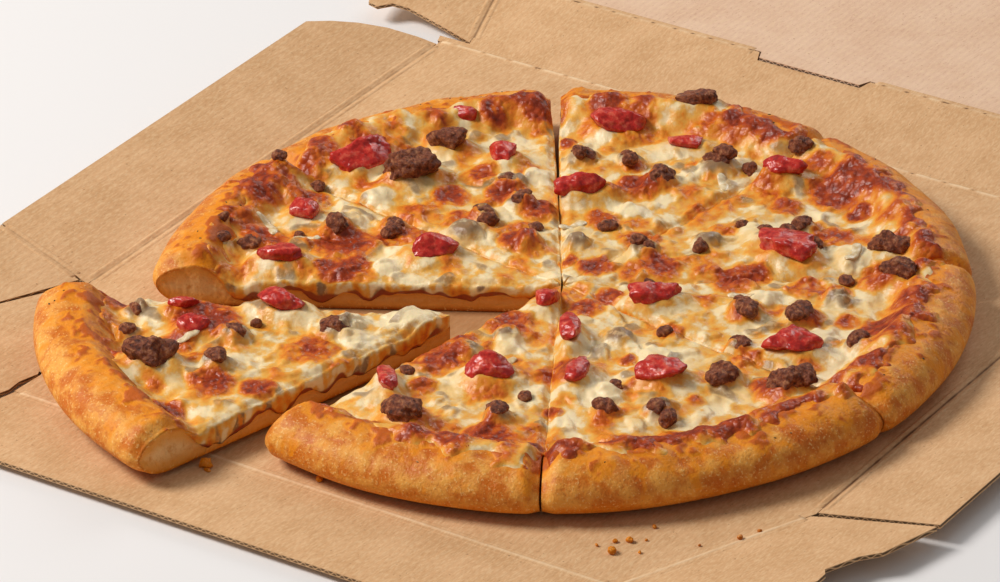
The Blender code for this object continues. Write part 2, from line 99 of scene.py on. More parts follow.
def add_node(tree, kind, inputs=None, output=None, stops=(), **settings):
    """Add a shader node: settings are its properties, inputs its sockets' values or links.

    Stops are a colour ramp's places and colours, its two ends first. Gives the output named, or else
    the node."""
    node = tree.nodes.new("ShaderNode" + kind)
    for key, value in settings.items():
        setattr(node, key, value)
    for key, value in (inputs or {}).items():
        if isinstance(value, bpy.types.NodeSocket):
            tree.links.new(value, node.inputs[key])
        else:
            node.inputs[key].default_value = value
    for index, (spot, code) in enumerate(stops):
        shades = node.color_ramp.elements
        shade = shades[index] if index < 2 else shades.new(spot)
        shade.position, shade.color = spot, hex_colour(code)
    return node.outputs[output] if output else node


def layered(tree, colour, layers):
    """Lay colours over a colour, each given as the value that brings it in, low, high, share and colour.

    As its value goes from low to high, by a smooth step, the cover goes from nothing to its share."""
    for value, low, high, share, over in layers:
        cover = add_node(tree, "MapRange", {"Value": value, "From Min": low, "From Max": high,
                                            "To Max": share}, "Result", interpolation_type="SMOOTHSTEP")
        over = hex_colour(over) if isinstance(over, str) else over
        colour = add_node(tree, "Mix", {"Factor": cover, "A": colour, "B": over}, "Result", data_type="RGBA")
    return colour


def new_material(name, values):
    """A material with its node tree and its Principled shader, whose sockets get the values given."""
    material = bpy.data.materials.new(name)
    material.use_nodes = True
    shader = material.node_tree.nodes["Principled BSDF"]
    for key, value in values.items():
        shader.inputs[key].default_value = value
    return material, material.node_tree, shader


def dress(tree, shader, colour, bumps=(), rough=None, normal=None):
    """Link a colour and a roughness to a shader, and a chain of bumps over a normal.

    Each bump is a height, its distance in metres and its strength."""
    for height, distance, strength in bumps:
        under = {"Normal": normal} if normal else {}
        normal = add_node(tree, "Bump", {"Height": height, "Distance": distance, "Strength": strength,
                                         **under}, "Normal")
    for key, value in (("Base Color", colour), ("Roughness", rough), ("Normal", normal)):
        if value:
            tree.links.new(value, shader.inputs[key])


def grid_mesh(name, points, wrap_u=False, wrap_v=False):
    """A mesh of quads over a grid of points in metres, closed across an axis where it wraps."""
    rows, columns = points.shape[:2]
    i = np.arange(rows if wrap_u else rows - 1)[:, None]
    j = np.arange(columns if wrap_v else columns - 1)[None, :]
    i_next, j_next = (i + 1) % rows, (j + 1) % columns
    quads = np.stack([i * columns + j, i_next * columns + j, i_next * columns + j_next,
                      i * columns + j_next], axis=-1).reshape(-1, 4)
    mesh = bpy.data.meshes.new(name)
    mesh.vertices.add(rows * columns)
    mesh.vertices.foreach_set("co", points.reshape(-1).astype(np.float32))
    mesh.loops.add(quads.size)
    mesh.loops.foreach_set("vertex_index", quads.reshape(-1).astype(np.int32))
    mesh.polygons.add(len(quads))
    mesh.polygons.foreach_set("loop_start", np.arange(0, quads.size, 4, dtype=np.int32))
    mesh.polygons.foreach_set("use_smooth", np.ones(len(quads), dtype=bool))
    mesh.update(calc_edges=True)
    return mesh


def add_piece(name, mesh, material):
    """Put a mesh in the scene with its material."""
    piece = bpy.data.objects.new(name, mesh)
    bpy.context.scene.collection.objects.link(piece)
    mesh.materials.clear()
    mesh.materials.append(material)
    return piece


def soft_light(name, place, aim, size, watts, colour):
    """A square area light of a size in metres that faces a point."""
    light = bpy.data.lights.new(name, "AREA")
    light.size, light.energy, light.color = size, watts, hex_colour(colour)[:3]
    lamp = bpy.data.objects.new(name, light)
    lamp.location = place
    lamp.rotation_euler = (Vector(aim) - Vector(place)).to_track_quat("-Z", "Y").to_euler()
    bpy.context.scene.collection.objects.link(lamp)


TABLE_SIZE = 8.0
TABLE_DROP = 0.0002

laminate, _, _ = new_material("white laminate table",
                              {"Base Color": hex_colour("eae8e8"), "Roughness": 0.55})
corner = TABLE_SIZE / 2
table_points = np.array([[[-corner, -corner, -TABLE_DROP], [-corner, corner, -TABLE_DROP]],
                         [[corner, -corner, -TABLE_DROP], [corner, corner, -TABLE_DROP]]])
table = add_piece("table", grid_mesh("table", table_points), laminate)
table.data.flip_normals()

soft_light("key_light", (-1.35, -0.70, 1.50), (0.0, 0.0, 0.0), 0.75, 45.0, "fffbf6")
soft_light("back_light", (-0.2, 1.9, 1.1), (0.0, 0.0, 0.0), 0.9, 9.0, "ffffff")

world = bpy.data.worlds.new("studio")
world.use_nodes = True
world.node_tree.nodes["Background"].inputs["Color"].default_value = hex_colour("f2efec")
world.node_tree.nodes["Background"].inputs["Strength"].default_value = 0.30
bpy.context.scene.world = world
bpy.context.scene.view_settings.view_transform = "Standard"


# Box
# One blank of single-wall corrugated board, kraft brown on both sides, die-cut and creased, its flutes
# running from back to front. Each panel is its own plate, and a strip of crushed liner bridges each
# crease.
FLUTE_PITCH, BOARD, WELD = 0.0032, 0.0016, 2e-6  # in metres
CREASE_HALF, CREASE_STEP, CREASE_COLUMNS = 3.4, 2.0, 19  # in mm, and a count
# For each crease: how high its ridge and its two shoulders stand in mm, how pale its crushed liner is (a
# value below 0 gives painted shade in its valley instead), and the distance between the marks of the
# creasing rule in mm, 0 for none.
CREASES = {
    "back_wall": (0.55, 0.10, 0.75, 13.0), "left_wall": (0.0, 0.32, -0.45, 0.0),
    "right_wall": (0.0, 0.30, -0.85, 0.0), "front_wall": (0.30, 0.10, 0.60, 0.0),
    "corner_left": (0.34, 0.12, 0.70, 0.0), "corner_right": (0.34, 0.12, 0.60, 0.0),
    "gusset_left": (0.0, 0.22, -0.35, 0.0), "lid": (0.14, 0.12, 0.45, 9.0),
    "ear_left": (0.0, 0.22, -0.70, 0.0), "ear_right": (0.0, 0.22, -0.50, 0.0),
    "lid_flap_left": (0.26, 0.10, 0.50, 0.0), "lid_flap_right": (0.26, 0.10, 0.50, 0.0),
    "lid_flap_front": (0.26, 0.10, 0.50, 0.0),
}
# Folds without a joint: a point and the direction of each
FIXED_FOLDS = {"front_wall": ((0.156, -0.155, BOARD), (-1.0, 0.0, 0.0)),
               "corner_left": ((-0.123, -0.155, BOARD), (-0.3939, 0.9191, 0.0))}
# In metres: where the tongue cuts the lid's crease, how near its axis a panel's vertices count as beside
# it, how much shorter a strip is at each end, the half width over which it blends, and the disc under
# the pizza that is darkened, for grease and as painted shade in the gaps between the slices
LID_TONGUE, BESIDE, CREASE_SHORTER, BLEND_HALF = (0.118, 0.172), 0.0026, 0.002, 0.0006
SHADE_AND_GREASE_CENTRE, SHADE_AND_GREASE_RIM = (0.0052, -0.0054, BOARD), (0.150, 0.118)
DIRECTIONS = np.random.default_rng(11).normal(size=(256, 3))
DIRECTIONS /= np.linalg.norm(DIRECTIONS, axis=1, keepdims=True)


def noise(points, size, seed):
    """Smooth noise from about -1 to 1 over points of 2 or 3 numbers, with lumps of a size in mm.

    Each corner of a lattice has a direction drawn by hashing; its dot product with the offset from
    that corner is blended with its neighbours' by the step 6t^5 - 15t^4 + 10t^3."""
    p = np.asarray(points, float) / size
    dims = p.shape[-1]
    cell = np.floor(p).astype(np.int64)
    part = p - cell
    step = part ** 3 * (part * (part * 6 - 15) + 10)
    total = np.zeros(p.shape[:-1])
    for corner in np.ndindex(*(2,) * dims):
        here = cell + corner
        key = here[..., 0] * 73856093 ^ here[..., 1] * 19349663 ^ (seed + 1) * 83492791
        if dims == 3:
            key = key ^ here[..., 2] * 49979687
        key = (key ^ (key >> 11) ^ (key >> 19)) & 255
        weight = np.prod(np.where(corner, step, 1 - step), axis=-1)
        total += weight * np.sum(DIRECTIONS[key][..., :dims] * (part - corner), axis=-1)
    return total * 1.7


def ramp(value, low, high):
    """0 below low, 1 above high, and the step 3t^2 - 2t^3 between."""
    t = np.clip((value - low) / (high - low), 0.0, 1.0)
    return t * t * (3 - 2 * t)


def attribute(mesh, name, values):
    """Store one number for each vertex under a name that materials read."""
    mesh.attributes.new(name, "FLOAT", "POINT").data.foreach_set(
        "value", np.asarray(values, np.float32).reshape(-1))


def mend(mesh, fill_ends=False):
    """Weld the vertices that lie on each other, as at a pole, and drop the faces without an area.

    A carried profile instead gets the open loops at its ends filled, and its faces turned outward."""
    shape = bmesh.new()
    shape.from_mesh(mesh)
    bmesh.ops.remove_doubles(shape, verts=shape.verts, dist=WELD)
    if fill_ends:
        bmesh.ops.holes_fill(shape, edges=[e for e in shape.edges if e.is_boundary])
        bmesh.ops.recalc_face_normals(shape, faces=shape.faces)
    else:
        bmesh.ops.dissolve_degenerate(shape, edges=shape.edges, dist=WELD / 2)
    shape.to_mesh(mesh)
    shape.free()


def mesh_array(items, field, width):
    """One property of a mesh's vertices or faces as rows of numbers."""
    values = np.empty(len(items) * width, np.float32)
    items.foreach_get(field, values)
    return values.reshape(-1, width).astype(float)


def kraft_material(name, pale, dark, grease_and_shade=0.0):
    """Kraft board: brown liners with fine fibres and flecks, a faint washboard, and open flutes at its cuts,
    dark with painted shade in their hollows.

    The painted shade in the flutes shows where the layer, 0 to 1 through the board, is off the medium's
    sine wave and off the liners. A disc under the pizza is darkened, for grease and as painted shade in
    the gaps between the slices. Creases are paler where their liner is crushed, and darker with painted
    shade in their valleys."""
    material, tree, shader = new_material(name, {"Roughness": 0.78, "Specular IOR Level": 0.3})
    place = add_node(tree, "TexCoord", output="Object")
    layer, crease_pale_and_shade = (add_node(tree, "Attribute", output="Fac", attribute_name=key)
                   for key in ("layer", "crease_pale_and_shade"))
    stretched = add_node(tree, "Mapping", {"Vector": place, "Scale": (1500.0, 420.0, 1500.0)}, "Vector")
    cloudy, fibres, flecks = (
        add_node(tree, "TexNoise", {"Vector": vector, "Scale": scale, "Detail": detail,
                                    "Roughness": rough}, "Fac")
        for vector, scale, detail, rough in (
            (place, 60.0, 5.0, 0.6), (stretched, 1.0, 2.0, 0.5), (place, 800.0, 2.0, 0.5)))
    # Darkening of the disc under the pizza: grease, and painted shade where the board shows between the
    # slices
    away = add_node(tree, "VectorMath", {0: place, 1: SHADE_AND_GREASE_CENTRE}, "Value", operation="DISTANCE")
    colour = layered(tree, hex_colour(dark), (
        (cloudy, 0.30, 0.70, 1.0, pale), (fibres, 0.42, 0.72, 0.30, "efd2a6"),
        (fibres, 0.40, 0.28, 0.22, "9a6a3e"), (flecks, 0.69, 0.76, 0.55, "7d5230"),
        (away, *SHADE_AND_GREASE_RIM, grease_and_shade, "a0642f")))
    # Painted shade in the hollows of the open flutes at cut edges: dark where the layer is off the medium's
    # wave and off the liners
    across = add_node(tree, "SeparateXYZ", {"Vector": place}, "X")
    turned = add_node(tree, "Math", {0: across, 1: 2 * math.pi / FLUTE_PITCH}, "Value", operation="MULTIPLY")
    wave = add_node(tree, "Math", {0: turned}, "Value", operation="SINE")
    medium = add_node(tree, "Math", {0: wave, 1: 0.33, 2: 0.5}, "Value", operation="MULTIPLY_ADD")
    flute_hollow_shade = 0.85
    for centre, low, high in ((medium, 0.10, 0.20), (0.5, 0.37, 0.31)):
        off = add_node(tree, "Math", {0: layer, 1: centre}, "Value", operation="SUBTRACT")
        off = add_node(tree, "Math", {0: off}, "Value", operation="ABSOLUTE")
        hollow_shade_here = add_node(tree, "MapRange", {"Value": off, "From Min": low, "From Max": high}, "Result",
                             interpolation_type="SMOOTHSTEP")
        flute_hollow_shade = add_node(tree, "Math", {0: flute_hollow_shade, 1: hollow_shade_here}, "Value", operation="MULTIPLY")
    colour = add_node(tree, "Mix", {"Factor": flute_hollow_shade, "A": colour, "B": hex_colour("3f2815")}, "Result",
                      data_type="RGBA")
    # Creases: paler where the liner is crushed, and, below 0, darker with painted shade in their valleys
    colour = layered(tree, colour, ((crease_pale_and_shade, 0.0, 1.0, 0.8, "efd3ac"), (crease_pale_and_shade, 0.0, -1.0, 0.9, "5c3718")))
    dress(tree, shader, colour, ((wave, 0.00005, 0.5), (fibres, 0.0002, 0.25)))
    return material


def panel_plate(name):
    """A merged copy of a panel's solid, its upward normal, and the body it belongs to."""
    node = frame["nodes"][name]
    mesh = node.data.copy()
    mend(mesh)
    normals, areas = mesh_array(mesh.polygons, "normal", 3), mesh_array(mesh.polygons, "area", 1)
    up_facing = normals[:, 2] > 0.8
    normal = (normals * areas)[up_facing].sum(axis=0)
    normal /= np.linalg.norm(normal)
    level = mesh_array(mesh.vertices, "co", 3) @ normal
    attribute(mesh, "layer", (level - level.min()) / np.ptp(level))
    return mesh, normal, node["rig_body"]


def crease_strip(name, start, along, length, normals, shape):
    """A strip of crushed liner over a crease, its wings lying on the two panels that the crease joins.

    Across it, s runs from -3.4 to 3.4 mm. Its height over the board is a ridge exp(-(s/0.8)^2) and two
    shoulders exp(-((|s| - 1.9)/0.8)^2), uneven along its length, and its rims sink into the board."""
    ridge, shoulder, crease_pale_and_shade, marks = shape
    run = np.linspace(0.0, length, max(3, round(length * 1000 / CREASE_STEP)))[:, None]
    s = np.linspace(-CREASE_HALF, CREASE_HALF, CREASE_COLUMNS)[None, :]
    spots = np.stack(np.broadcast_arrays(run * 1000 + 31.0 * len(name), s), axis=-1)
    uneven = 1 + 0.5 * noise(spots, 14.0, 21) + 0.4 * noise(spots, 4.0, 22)
    lift = ridge * np.exp(-(s / 0.8) ** 2) + shoulder * np.exp(-((np.abs(s) - 1.9) / 0.8) ** 2)
    lift = lift * uneven + 0.05 - 0.2 * ramp(np.abs(s), CREASE_HALF - 1.2, CREASE_HALF)
    lift = lift * ramp(run, 0.0, 0.004) * (1 - ramp(run, length - 0.004, length)) - 0.02
    # Above 0 the crushed liner is paler; below 0 the crease's valley gets painted shade
    pale = crease_pale_and_shade * np.exp(-(s / (0.9 if crease_pale_and_shade > 0 else 0.6)) ** 2) * np.clip(uneven, 0.2, 1.4)
    if marks:
        pale = pale - 1.5 * np.exp(-(s / 0.5) ** 2) * (np.abs(run * 1000 % marks - marks / 2) < 1.1)
    s_closed = np.concatenate([s, [[CREASE_HALF, -CREASE_HALF]]], axis=1)
    lift = np.concatenate([lift, np.full((len(run), 2), -0.5)], axis=1)
    pale = np.concatenate([pale, np.zeros((len(run), 2))], axis=1)
    share = ramp(s_closed, -0.4, 0.4)[..., None]
    flat = [np.cross(normal, along) for normal in normals]
    out = (flat[0] * (1 - share) + flat[1] * share) * s_closed[..., None]
    up = (normals[0] * (1 - share) + normals[1] * share) * lift[..., None]
    mesh = grid_mesh(name, start + along * run[..., None] + (out + up) * 0.001, wrap_v=True)
    attribute(mesh, "crease_pale_and_shade", pale)
    attribute(mesh, "layer", np.ones(pale.shape))
    mend(mesh, fill_ends=True)
    return mesh, flat[0]


kraft_board = kraft_material("kraft corrugated board", "d7ab7e", "cb9e70")
kraft_base = kraft_material("kraft corrugated board, greased and painted shade", "d7ab7e", "cb9e70", grease_and_shade=0.62)
# The lid's board is a paler, pinker copy of the kraft: painted light, for the brighter light and sheen on the
# lid
kraft_lid_painted_light = kraft_material("kraft corrugated board, painted lighter for the lid", "e2bfa3", "dab497")
plates = {name: panel_plate(name) for name in frame["nodes"]
          if not name.startswith(("dough", "cheese", "tomato", "sausage"))}
board_of_body = {body: name for name, (_, _, body) in plates.items() if name not in FIXED_FOLDS}
for name, (mesh, _, body) in plates.items():
    board = {"base": kraft_base, "lid": kraft_lid_painted_light}.get(name, kraft_board)
    panel = add_piece(f"{name}_board", mesh, board)
    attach(panel, body)
    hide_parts(name)

folds = [(joint["child"], joint["parent"], board_of_body[joint["child"]], joint["pos_m"], joint["axis"])
         for joint in frame["joints"]]
folds += [("box_and_pizza", "box_and_pizza", name, *fold) for name, fold in FIXED_FOLDS.items()]
for child, parent, name, start, axis in folds:
    start, along = np.array(start), np.array(axis) / np.linalg.norm(axis)
    cloud = mesh_array(plates[name][0].vertices, "co", 3) - start
    reach = cloud @ along
    beside = np.linalg.norm(cloud - reach[:, None] * along, axis=1) < BESIDE
    first, last = reach[beside].min() + CREASE_SHORTER, reach[beside].max() - CREASE_SHORTER
    stretches = ((first, LID_TONGUE[0]), (LID_TONGUE[1], last)) if name == "lid" else ((first, last),)
    normals = plates[board_of_body[parent] if parent != "box_and_pizza" else "base"][1], plates[name][1]
    for index, (near, far) in enumerate(stretches, 1):
        label = f"{name}_crease_{index}" if name == "lid" else f"{name}_crease"
        mesh, outward = crease_strip(label, start + along * near, along, far - near, normals, CREASES[name])
        crease = add_piece(label, mesh, kraft_board)
        if child == parent:
            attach(crease, parent)
        else:
            middle = start + along * (near + far) / 2
            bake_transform(crease)


# Dough
# Wheat dough stretched into a disc and baked on corn meal: thin under the cheese, puffed into a round
# rim that browns on top, with a pale open crumb where it was cut. Eight slices from one disc, one of
# them pulled out and propped on its crust. Worked out in the pizza's own millimetres.
PIZZA_PLACE = (5.2, -5.4, 1.9)
# The pulled slice: its number, how far it lies out in x and y, its turn and its pitch in degrees
PULLED_SLICE, PULLED_SHIFT = 5, (-21.3, -40.0)
PULLED_TURN, PULLED_PITCH = -1.5, 1.3
# The cuts in degrees, with the one that stands open at the rim and how far, and their width
SLICES = range(1, 9)
CUTS = (35.0, 80.0, 123.3, 172.0, 209.0, 258.0, 300.0, 352.0)
OPEN_CUT, OPEN_CUT_DEGREES = 3, 1.3
KERF = 0.8
RADIUS, RIM_WIDTH, RIM_HEIGHT, RIM_WAIST, THIN = 150.0, 17.0, 20.0, 8.6, 8.0
RIM_FOOT, RIM_POWER = 34.0, 2.1
# A slice's grid: where its slope begins from the outside, the rows within that, on the slope and on the
# bead, and the columns across the slice and down each cut
SLOPE_START, INNER_ROWS, SLOPE_ROWS, BEAD_ROWS = 38.0, 22, 38, 34
ACROSS, FACE_STEPS = 150, 16


def slice_cuts(number):
    """The two cut angles of a slice in radians; one cut stands open at the rim."""
    start = CUTS[number - 1] + (OPEN_CUT_DEGREES if number == OPEN_CUT else 0.0)
    end = CUTS[number % 8] + (360.0 if number == 8 else 0.0)
    return math.radians(start), math.radians(end)


def slice_plan(number, radii, shares):
    """Places on a slice for distances from the pizza's middle and shares across, 0 to 1 from cut to cut.

    The slice's tip is drawn back along its middle by half a kerf, and each place lies on the ray of
    its share from the tip, at its distance from the middle. Also gives the distance to the nearer cut."""
    start, end = slice_cuts(number)
    tip = KERF / 2 / math.sin((end - start) / 2)
    middle = (start + end) / 2
    angle = start + (end - start) * shares
    radius = np.maximum(radii, tip)
    lean = tip * np.cos(angle - middle)
    reach = -lean + np.sqrt(np.maximum(lean ** 2 - tip ** 2 + radius ** 2, 0.0))
    x = tip * math.cos(middle) + reach * np.cos(angle)
    y = tip * math.sin(middle) + reach * np.sin(angle)
    edge = reach * np.minimum(np.abs(np.sin(angle - start)), np.abs(np.sin(end - angle)))
    return x, y, edge


def placed(number, x, y, z):
    """Take pizza millimetres to the frame's metres, the pulled slice to where it lies."""
    points = np.stack(np.broadcast_arrays(x, y, z), axis=-1).astype(float)
    if number == PULLED_SLICE:
        start, end = slice_cuts(number)
        outward = (start + end) / 2 + math.radians(PULLED_TURN)
        axis = Vector((math.sin(outward), -math.cos(outward), 0.0))
        turn = (Matrix.Rotation(math.radians(PULLED_PITCH), 3, axis)
                @ Matrix.Rotation(math.radians(PULLED_TURN), 3, "Z"))
        points = points @ np.array(turn).T + (*PULLED_SHIFT, 0.0)
    return (points + PIZZA_PLACE) * 0.001


def rim_reach(x, y):
    """How far the crust stands out past a true circle, in mm: long waves with shorter ones on them."""
    angle = np.arctan2(y, x)
    around = np.stack([np.cos(angle), np.sin(angle)], axis=-1)
    return 1.2 * noise(around, 0.55, 3) + 0.5 * noise(around, 0.2, 4)


def swollen(x, y, radii, edge):
    """Move places of a true disc out to the crust's uneven rim, drawn in a little beside the cuts."""
    swell = 1 + rim_reach(x, y) * ramp(radii, 100.0, RADIUS) / RADIUS
    swell -= 0.013 * ramp(radii, RADIUS - 18, RADIUS) * (1 - ramp(edge, 0.0, 6.0)) ** 2
    return x * swell, y * swell


def cheese_stain(x, y, radii):
    """Where the crust is stained orange by the cheese and the sauce: a ragged belt on the rim.

    It is 19 mm wide to each side at the front of the pizza and 28 mm at its back."""
    place = np.stack([x, y], axis=-1)
    belt = 0.85 - np.abs(radii - RADIUS + 19.0) / (19.0 + 9.0 * ramp(x + y, -110.0, 60.0))
    return np.clip(belt + 0.75 * noise(place, 9.0, 31) + 0.45 * noise(place, 3.0, 32), 0.0, 1.0)


def dough_heights(x, y, radii, edge):
    """The top and the underside of the dough at places of the disc, in mm.

    Inside the rim the top rises from the thin base by a smooth step; the rim is a rounded bead whose
    two halves meet at its waist, each (1 - u^p)^(1/p) of its height, u running over the rim's width.
    Broad noise raises and lowers the rim, and the corners along the cuts are rounded off."""
    inside = ramp(radii, RADIUS - RIM_FOOT, RADIUS - RIM_WIDTH)
    u = np.clip((radii - RADIUS + RIM_WIDTH) / RIM_WIDTH, 0.0, 1.0)
    bead = (1 - u ** RIM_POWER) ** (1 / RIM_POWER)
    crown = THIN + (RIM_HEIGHT - THIN) * inside
    place = np.stack([x, y], axis=-1)
    lumps = 0.09 * noise(place, 34.0, 5) + 0.045 * noise(place, 13.0, 6) + 0.016 * noise(place, 5.0, 7)
    crown = crown * (1 + lumps * inside)
    crown -= 4.2 * inside * (1 - ramp(edge, 0.0, 7.5)) ** 2
    top = np.where(u > 0, RIM_WAIST + (crown - RIM_WAIST) * bead, crown)
    underside = RIM_WAIST * (1 - bead)
    return top, underside


def dough_rows():
    """Distances from the middle: wide steps under the cheese, fine ones on the rim, even over its bead."""
    inner = np.linspace(0.0, RADIUS - SLOPE_START, INNER_ROWS)
    slope = np.linspace(RADIUS - SLOPE_START, RADIUS - RIM_WIDTH, SLOPE_ROWS)[1:]
    bead = RADIUS - RIM_WIDTH + RIM_WIDTH * np.sin(np.linspace(0, math.pi / 2, BEAD_ROWS))[1:]
    return np.concatenate([inner, slope, bead])


def dough_loops(number):
    """The dough of a slice as loops: over the top, down one cut, back along the underside, up the other.

    One loop for each distance from the middle; at the outermost the top and the underside meet. The
    cut faces are torn by noise, most in the middle of their height. Also gives how deep each point of
    a cut face is under the skin, in mm, and 0 on the skin."""
    rows = dough_rows()[:, None]
    x, y, edge = slice_plan(number, rows, np.linspace(0.0, 1.0, ACROSS)[None, :])
    radii = np.broadcast_to(rows, x.shape)
    top, underside = dough_heights(x, y, radii, edge)
    stain = cheese_stain(x, y, radii)
    top = top + 0.7 * ramp(stain, 0.72, 1.0) * ramp(RADIUS - radii, 2.0, 9.0)
    x, y = swollen(x, y, radii, edge)
    start, end = slice_cuts(number)
    down = np.linspace(0.0, 1.0, FACE_STEPS + 2)[None, 1:-1]

    def cut_face(column, out_x, out_y, steps, seed):
        height = (top - underside)[:, column, None]
        z = top[:, column, None] - height * steps
        run = np.stack([np.broadcast_to(rows, z.shape), z], axis=-1)
        torn = (0.6 * noise(run, 5.0, seed) + 0.4 * noise(run, 1.8, seed + 1) - 0.2) * ramp(height, 0.0, 5.0)
        torn = torn * np.sin(math.pi * steps)
        return x[:, column, None] + torn * out_x, y[:, column, None] + torn * out_y, z

    far = cut_face(-1, -math.sin(end), math.cos(end), down, 40 + number)
    near = cut_face(0, math.sin(start), -math.cos(start), down[:, ::-1], 60 + number)
    loops = [np.concatenate(parts, axis=1) for parts in zip((x, y, top), far, (x[:, ::-1], y[:, ::-1],
             underside[:, ::-1]), near)]
    height = (top - underside)[:, (-1, 0)]
    inner = [np.minimum(steps, 1 - steps) * height[:, k, None]
             for k, steps in ((0, down), (1, down[:, ::-1]))]
    skin = np.zeros(x.shape)
    plain = [np.zeros(part.shape) for part in (inner[0], skin, inner[1])]
    return (placed(number, *loops), np.concatenate([skin, inner[0], skin, inner[1]], axis=1),
            np.concatenate([stain, *plain], axis=1))


def crust_material():
    """Baked wheat dough: golden with a sandy grain, orange where cheese ran, pale torn crumb on its cuts."""
    material, tree, shader = new_material("baked dough crust", {
        "Specular IOR Level": 0.24, "Subsurface Weight": 0.05, "Subsurface Radius": (1.0, 0.5, 0.25),
        "Subsurface Scale": 0.0015})
    place = add_node(tree, "TexCoord", output="Object")
    depth, stain = (add_node(tree, "Attribute", output="Fac", attribute_name=key)
                    for key in ("depth", "stain"))
    broad, patchy, grain, holes = (
        add_node(tree, "TexNoise", {"Vector": place, "Scale": scale, "Detail": detail,
                                    "Roughness": rough}, "Fac")
        for scale, detail, rough in ((42.0, 3.0, 0.55), (130.0, 5.0, 0.62), (1000.0, 3.0, 0.55),
                                     (330.0, 3.0, 0.55)))
    height = add_node(tree, "SeparateXYZ", {"Vector": place}, "Z")
    off_patchy = add_node(tree, "Math", {0: patchy, 1: 0.5}, "Value", operation="SUBTRACT")
    ragged = add_node(tree, "Math", {0: stain, 1: off_patchy}, "Value", operation="ADD")
    crumb = layered(tree, hex_colour("d29653"), (
        (holes, 0.28, 0.50, 1.0, "ecc288"), (depth, 8.0, 2.0, 0.9, "e29a40")))
    colour = layered(tree, hex_colour("cb6c16"), (
        (patchy, 0.36, 0.64, 1.0, "eaa448"), (broad, 0.53, 0.70, 0.6, "b85512"),
        (height, 0.0125, 0.0045, 0.8, "dd860c"), (height, 0.0050, 0.0022, 0.7, "954208"),
        (grain, 0.57, 0.68, 0.55, "f8cf86"), (grain, 0.42, 0.28, 0.45, "9e4a0c"),
        (ragged, 0.20, 0.62, 0.85, "e58a10"), (ragged, 0.66, 0.96, 0.8, "b2480c"),
        (depth, 0.15, 2.4, 1.0, crumb)))
    rough = add_node(tree, "MapRange", {"Value": patchy, "From Min": 0.35, "From Max": 0.65,
                                        "To Min": 0.40, "To Max": 0.60}, "Result")
    dress(tree, shader, colour, ((patchy, 0.0012, 0.55), (holes, 0.0006, 0.4), (grain, 0.0005, 0.55)), rough)
    return material


baked_crust = crust_material()
for number in SLICES:
    points, depth, stain = dough_loops(number)
    mesh = grid_mesh(f"crust_{number}", points, wrap_v=True)
    attribute(mesh, "depth", depth)
    attribute(mesh, "stain", stain)
    mend(mesh)
    crust = add_piece(f"crust_{number}", mesh, baked_crust)
    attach(crust, "box_and_pizza")
    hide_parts(f"dough_{number}")


# Cheese
# Grated mozzarella melted into one blanket over the sauce and cut with the slices: cream where it is
# thick, yellow to amber around the blisters and red brown on them, grey over the sausage it hides,
# thin and browned where it climbs the rim.
CHEESE_EDGE = 137.0
# The way, x and y, in which the cheese draws back and leaves the rim bare
BARE_SIDE = (-0.616, -0.788)
CHEESE_ACROSS, CHEESE_SIDE, CHEESE_UNDER, CHEESE_STEP = 180, 8, 10, 0.58
TOMATOES, SAUSAGES = 22, 8
# Crumbs of sausage under the cheese: slice, angle, distance from the middle, diameter
CRUMBS = (
    (1, 76, 118, 8), (1, 62, 60, 9), (1, 70, 38, 10), (1, 56, 96, 9), (2, 89, 104, 13), (2, 118, 96, 9),
    (2, 108, 97, 9), (2, 97, 84, 11), (2, 112, 30, 9), (3, 166, 52, 12), (3, 152, 60, 9), (3, 137, 62, 10),
    (3, 137, 80, 10), (3, 146, 33, 10), (4, 186, 93, 11), (4, 196, 101, 8), (4, 198, 118, 10),
    (4, 180, 118, 8), (4, 178, 76, 9), (5, 214, 114, 8), (5, 221, 117, 8), (5, 233, 44, 12),
    (5, 228, 80, 11), (5, 240, 92, 10), (6, 268, 60, 9), (6, 290, 100, 9), (6, 276, 44, 8),
    (7, 341, 93, 12), (7, 322, 102, 10), (7, 329, 47, 9), (7, 312, 96, 9), (8, 12, 70, 11),
    (8, 14, 90, 11), (8, 7, 117, 10), (8, 24, 100, 9), (8, 355, 80, 9),
)
# Knobs of plain cheese: slice, angle, distance from the middle, diameter
CHEESE_KNOBS = (
    (5, 233, 14, 16), (5, 226, 36, 10), (5, 244, 40, 9), (4, 181, 91, 11), (4, 201, 66, 9), (8, 22, 74, 10),
    (1, 60, 78, 10), (1, 42, 106, 13), (3, 168, 97, 10), (2, 97, 60, 10), (6, 280, 50, 10), (7, 334, 64, 11),
    (8, 8, 102, 10), (3, 129, 84, 9), (7, 314, 82, 10),
)
